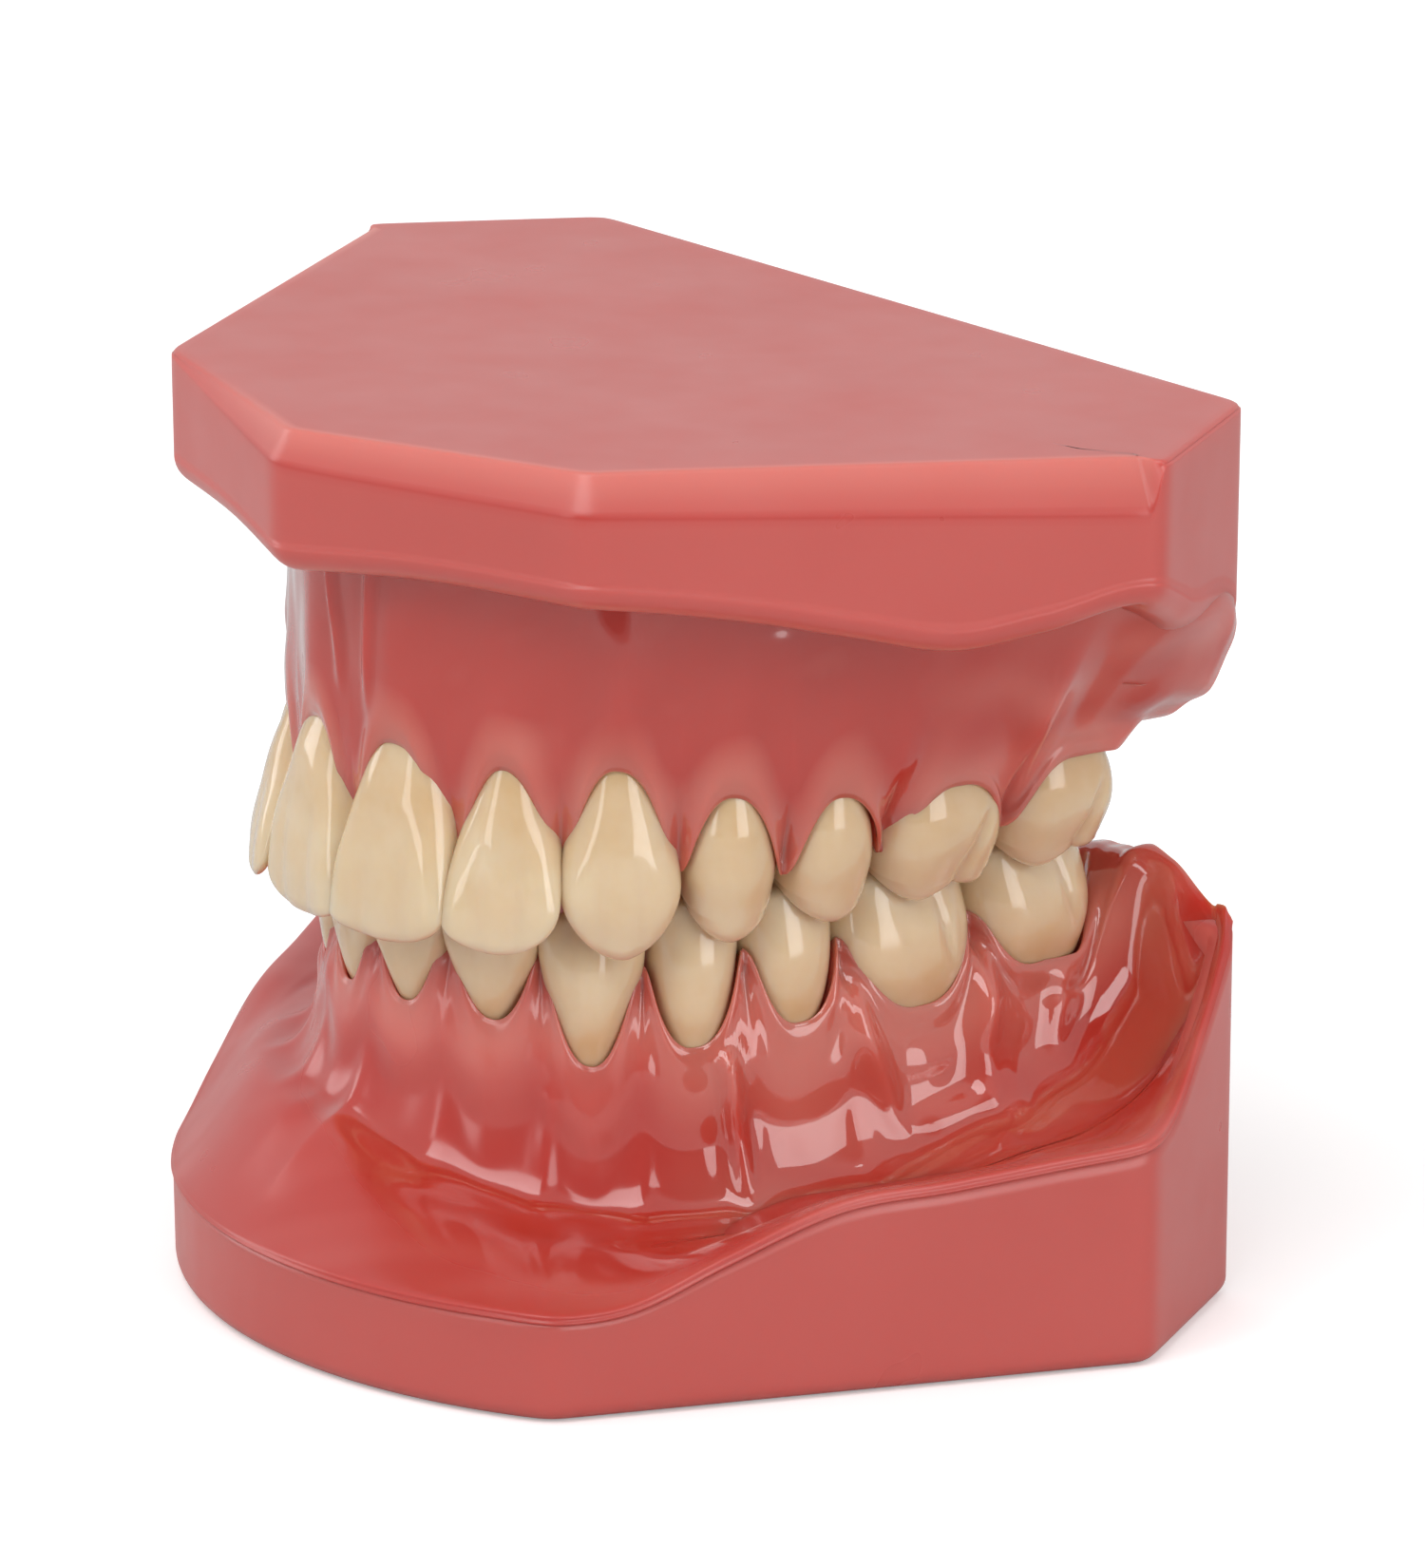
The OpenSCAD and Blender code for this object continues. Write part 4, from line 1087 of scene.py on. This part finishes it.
def upper_base():
    loop, way = UPPER_OUT, outward(UPPER_OUT)
    skirt = curve(UPPER_SKIRT, loop[:, 1])
    drop = bevel_heights(loop)
    inset = 0.55 * drop
    flat = TOP_Z - 0.04
    rings = []
    for share in np.linspace(0.05, 0.86, 16):
        rings.append(uneven(ring_in(loop, share, flat), 30, 0.08 * (1 - share), 2))
    # Painted light on the bevel: paler pink down its slope as a painted highlight, strongest where
    # the bevel is tallest, and a deep red line at its foot as a painted dark reflection
    painted_light_rings = {}
    strength = smooth(drop, 0.4, 2.2)

    def shaded(ring, pale):
        painted_light_rings[len(rings)] = 0.5 + pale * strength
        rings.append(ring)

    shaded(ring_at(loop, way, inset + 0.9, flat), 0.0)
    # A painted highlight: pale along the top of the bevel, fading down its slope
    for extra, fall in ((0.32, 0.0), (0.14, 0.03), (0.02, 0.10), (-0.06, 0.22)):
        shaded(ring_at(loop, way, inset + extra, flat - fall), 0.4)
    for share, pale in ((0.15, 0.36), (0.4, 0.24), (0.65, 0.12), (0.85, 0.05), (0.97, -0.3)):
        shaded(ring_at(loop, way, inset * (1 - share), flat - 0.22 - (drop - 0.22) * share), pale)
    # A painted dark reflection: a deep red line at the foot of the bevel, fading out below it
    shaded(ring_at(loop, way, 0.0, flat - drop - 0.12), -0.45)
    shaded(ring_at(loop, way, 0.0, flat - drop - 0.35), -0.15)
    shaded(ring_at(loop, way, 0.0, flat - drop - 0.8), 0.0)
    heel = smooth(loop[:, 1], 17.0, 25.0) * smooth(np.abs(loop[:, 0]), 14.0, 24.0)
    up = 1.8 + 3.0 * heel
    deep = 1.8 + 4.5 * heel
    start = flat - drop - 0.8
    tall = start - (skirt + up)
    for share in np.linspace(0.1, 1, 12):
        rings.append(ring_at(loop, way, 0.10 * share, start - tall * share))
    # The skirt's rounded lower edge is painted lighter towards its underside
    for away, fall in reversed(quarter(10)):
        painted_light_rings[len(rings)] = 0.5 + 0.25 * smooth(away, 0.0, 0.5)
        rings.append(ring_at(loop, way, 0.10 + deep * away, skirt + up * fall))
    rings.append(ring_at(loop, way, deep + 1.4, skirt + 0.3))
    rings.append(ring_in(loop, 0.66, skirt + 1.2))
    rings.append(ring_in(loop, 0.50, UPPER_HIDDEN + 0.5))
    rings.append(ring_in(loop, 0.05, UPPER_HIDDEN + 0.5))
    return stack_rings("upper_base_block", "upper_base", "upper", rings, True, painted_light_rings)


def lower_base():
    loop, way = LOWER_OUT, outward(LOWER_OUT)
    rim = curve(LOWER_RIM, loop[:, 1]) - 0.78
    opening = 1 - smooth(np.abs(loop[:, 0]), 12.4, 16.6)
    rim = rim - (rim - TONGUE_FLOOR) * smooth(loop[:, 1], 26.0, 26.5) * opening
    rings = [ring_in(loop, k, 0.0) for k in np.linspace(0.05, 0.93, 10)]
    rings.append(ring_at(loop, way, 1.6, 0.0))
    for inset, drop in quarter(8):
        rings.append(ring_at(loop, way, 0.10 + 1.1 * inset, 1.1 * drop))
    for share in np.linspace(0.06, 1, 14):
        rings.append(ring_at(loop, way, 0.10 * (1 - share), 1.1 + (rim - 1.1) * share))
    rings.append(ring_at(loop, way, 0.3, rim + 0.1))
    rings.append(ring_at(loop, way, 1.6, rim - 0.3))
    inner = np.minimum(rim - 2.5, 8.0)
    rings.append(ring_at(loop, way, 3.0, inner))
    rings.append(ring_in(loop, 0.75, 6.0))
    for share in (0.5, 0.25, 0.05):
        rings.append(ring_in(loop, share, TONGUE_FLOOR - 0.4))
    return stack_rings("lower_base_block", "lower_base", "lower", rings, False, {})


upper_gum()
lower_gum()
upper_base()
lower_base()


# ---- Stage -------------------------------------------------------------------------------

# The viewing direction of the reference: degrees round from the front, and degrees up
VIEW_AZIMUTH = 50.7
VIEW_ELEVATION = 16.1
VIEW_ROLL = -0.2
VIEW_DISTANCE = 0.8144
VIEW_LENS = 285.4
VIEW_TARGET = (0.0005, 0.0090, 0.0302)
SENSOR = 36.0
ROOM_LIGHT = 0.70
FLOOR_GLOW = 0.30
ROOM_DARK = 0.22
# Degrees by which the dark side of the room is turned from the camera towards the front
DARK_SIDE_TURN = 12
LIT_POINT = (0, 0, 0.03)
FLOOR_HALF = 3.0
FLOOR_BOUNCE = (0.66, 0.66, 0.66)
FLOOR_GREY = (0.93, 0.93, 0.93)
FLOOR_LIGHT_GREY = (0.95, 0.95, 0.95)


def toward_view(azimuth):
    """Direction from the model to a viewer at this azimuth and the usual elevation."""
    az, el = math.radians(azimuth), math.radians(VIEW_ELEVATION)
    return math.sin(az) * math.cos(el), -math.cos(az) * math.cos(el), math.sin(el)


def make_camera():
    camera = bpy.data.objects.new("camera", bpy.data.cameras.new("camera"))
    bpy.context.collection.objects.link(camera)
    camera.data.lens = VIEW_LENS
    camera.data.sensor_width = SENSOR
    camera.data.sensor_fit = "AUTO"
    az, el = math.radians(VIEW_AZIMUTH), math.radians(VIEW_ELEVATION)
    back = np.array(toward_view(VIEW_AZIMUTH))
    camera.location = np.array(VIEW_TARGET) + back * VIEW_DISTANCE
    camera.rotation_mode = "XYZ"
    camera.rotation_euler = (math.pi / 2 - el, 0, az)
    camera.rotation_euler.rotate_axis("Z", math.radians(-VIEW_ROLL))
    bpy.context.scene.camera = camera


def make_light(name, place, wide, tall, power_w):
    """Soft rectangular light, sizes in metres, turned to the middle of the model."""
    data = bpy.data.lights.new(name, "AREA")
    data.shape = "RECTANGLE"
    data.size = wide
    data.size_y = tall
    data.energy = power_w
    light = bpy.data.objects.new(name, data)
    bpy.context.collection.objects.link(light)
    light.location = place
    away = np.array(LIT_POINT) - np.array(place)
    tilt = math.atan2(math.hypot(away[0], away[1]), -away[2])
    turn = math.atan2(away[1], away[0]) - math.pi / 2
    light.rotation_euler = (tilt, 0, turn)


def studio_world(tree):
    """White behind the object, and a softer room with a darker side behind the camera for
    the light and the reflections."""
    background = tree.nodes["Background"]
    place = tree.nodes.new("ShaderNodeTexCoord")
    toward = tree.nodes.new("ShaderNodeVectorMath")
    toward.operation = "DOT_PRODUCT"
    toward.inputs[1].default_value = toward_view(VIEW_AZIMUTH - DARK_SIDE_TURN)
    tree.links.new(place.outputs["Generated"], toward.inputs[0])
    room = mapped(tree, toward.outputs["Value"], 0.70, 0.80, ROOM_LIGHT, ROOM_DARK)
    rays = tree.nodes.new("ShaderNodeLightPath")
    strength = blended(tree, rays.outputs["Is Camera Ray"], room, 1.0)
    tree.links.new(strength, background.inputs["Strength"])
    background.inputs["Color"].default_value = (1, 1, 1, 1)


def make_stage():
    world = bpy.data.worlds.new("studio")
    bpy.context.scene.world = world
    world.use_nodes = True
    studio_world(world.node_tree)
    bpy.context.scene.view_settings.view_transform = "Standard"
    mesh = bpy.data.meshes.new("floor")
    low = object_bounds()[0][2] - 0.0001
    around = [(-1, -1), (1, -1), (1, 1), (-1, 1)]
    corners = [(x * FLOOR_HALF, y * FLOOR_HALF, low) for x, y in around]
    mesh.from_pydata(corners, [], [(0, 1, 2, 3)])
    floor = bpy.data.objects.new("floor", mesh)
    bpy.context.collection.objects.link(floor)
    material, tree, shader = new_material("pale_floor")
    rays = tree.nodes.new("ShaderNodeLightPath")
    seen = rays.outputs["Is Camera Ray"]
    clouds = mapped(tree, noise(tree, 3), 0.3, 0.7, 0.0, 1.0)
    grey = mixed(tree, clouds, FLOOR_GREY, FLOOR_LIGHT_GREY)
    tree.links.new(mixed(tree, seen, FLOOR_BOUNCE, grey), shader.inputs["Base Color"])
    shader.inputs["Emission Color"].default_value = (1, 1, 1, 1)
    tree.links.new(blended(tree, seen, 0.0, FLOOR_GLOW), shader.inputs["Emission Strength"])
    shader.inputs["Roughness"].default_value = 0.9
    mesh.materials.append(material)


make_stage()
make_camera()
make_light("key", (0.30, -0.60, 0.85), 0.6, 0.6, 4.0)
make_light("left_window", (-0.8, -0.45, 0.35), 0.35, 0.6, 1.4)
make_light("front_window", (0.06, -1.0, 0.34), 0.24, 0.6, 1.15)
make_light("right_window", (0.95, -0.05, 0.30), 0.50, 0.65, 2.75)
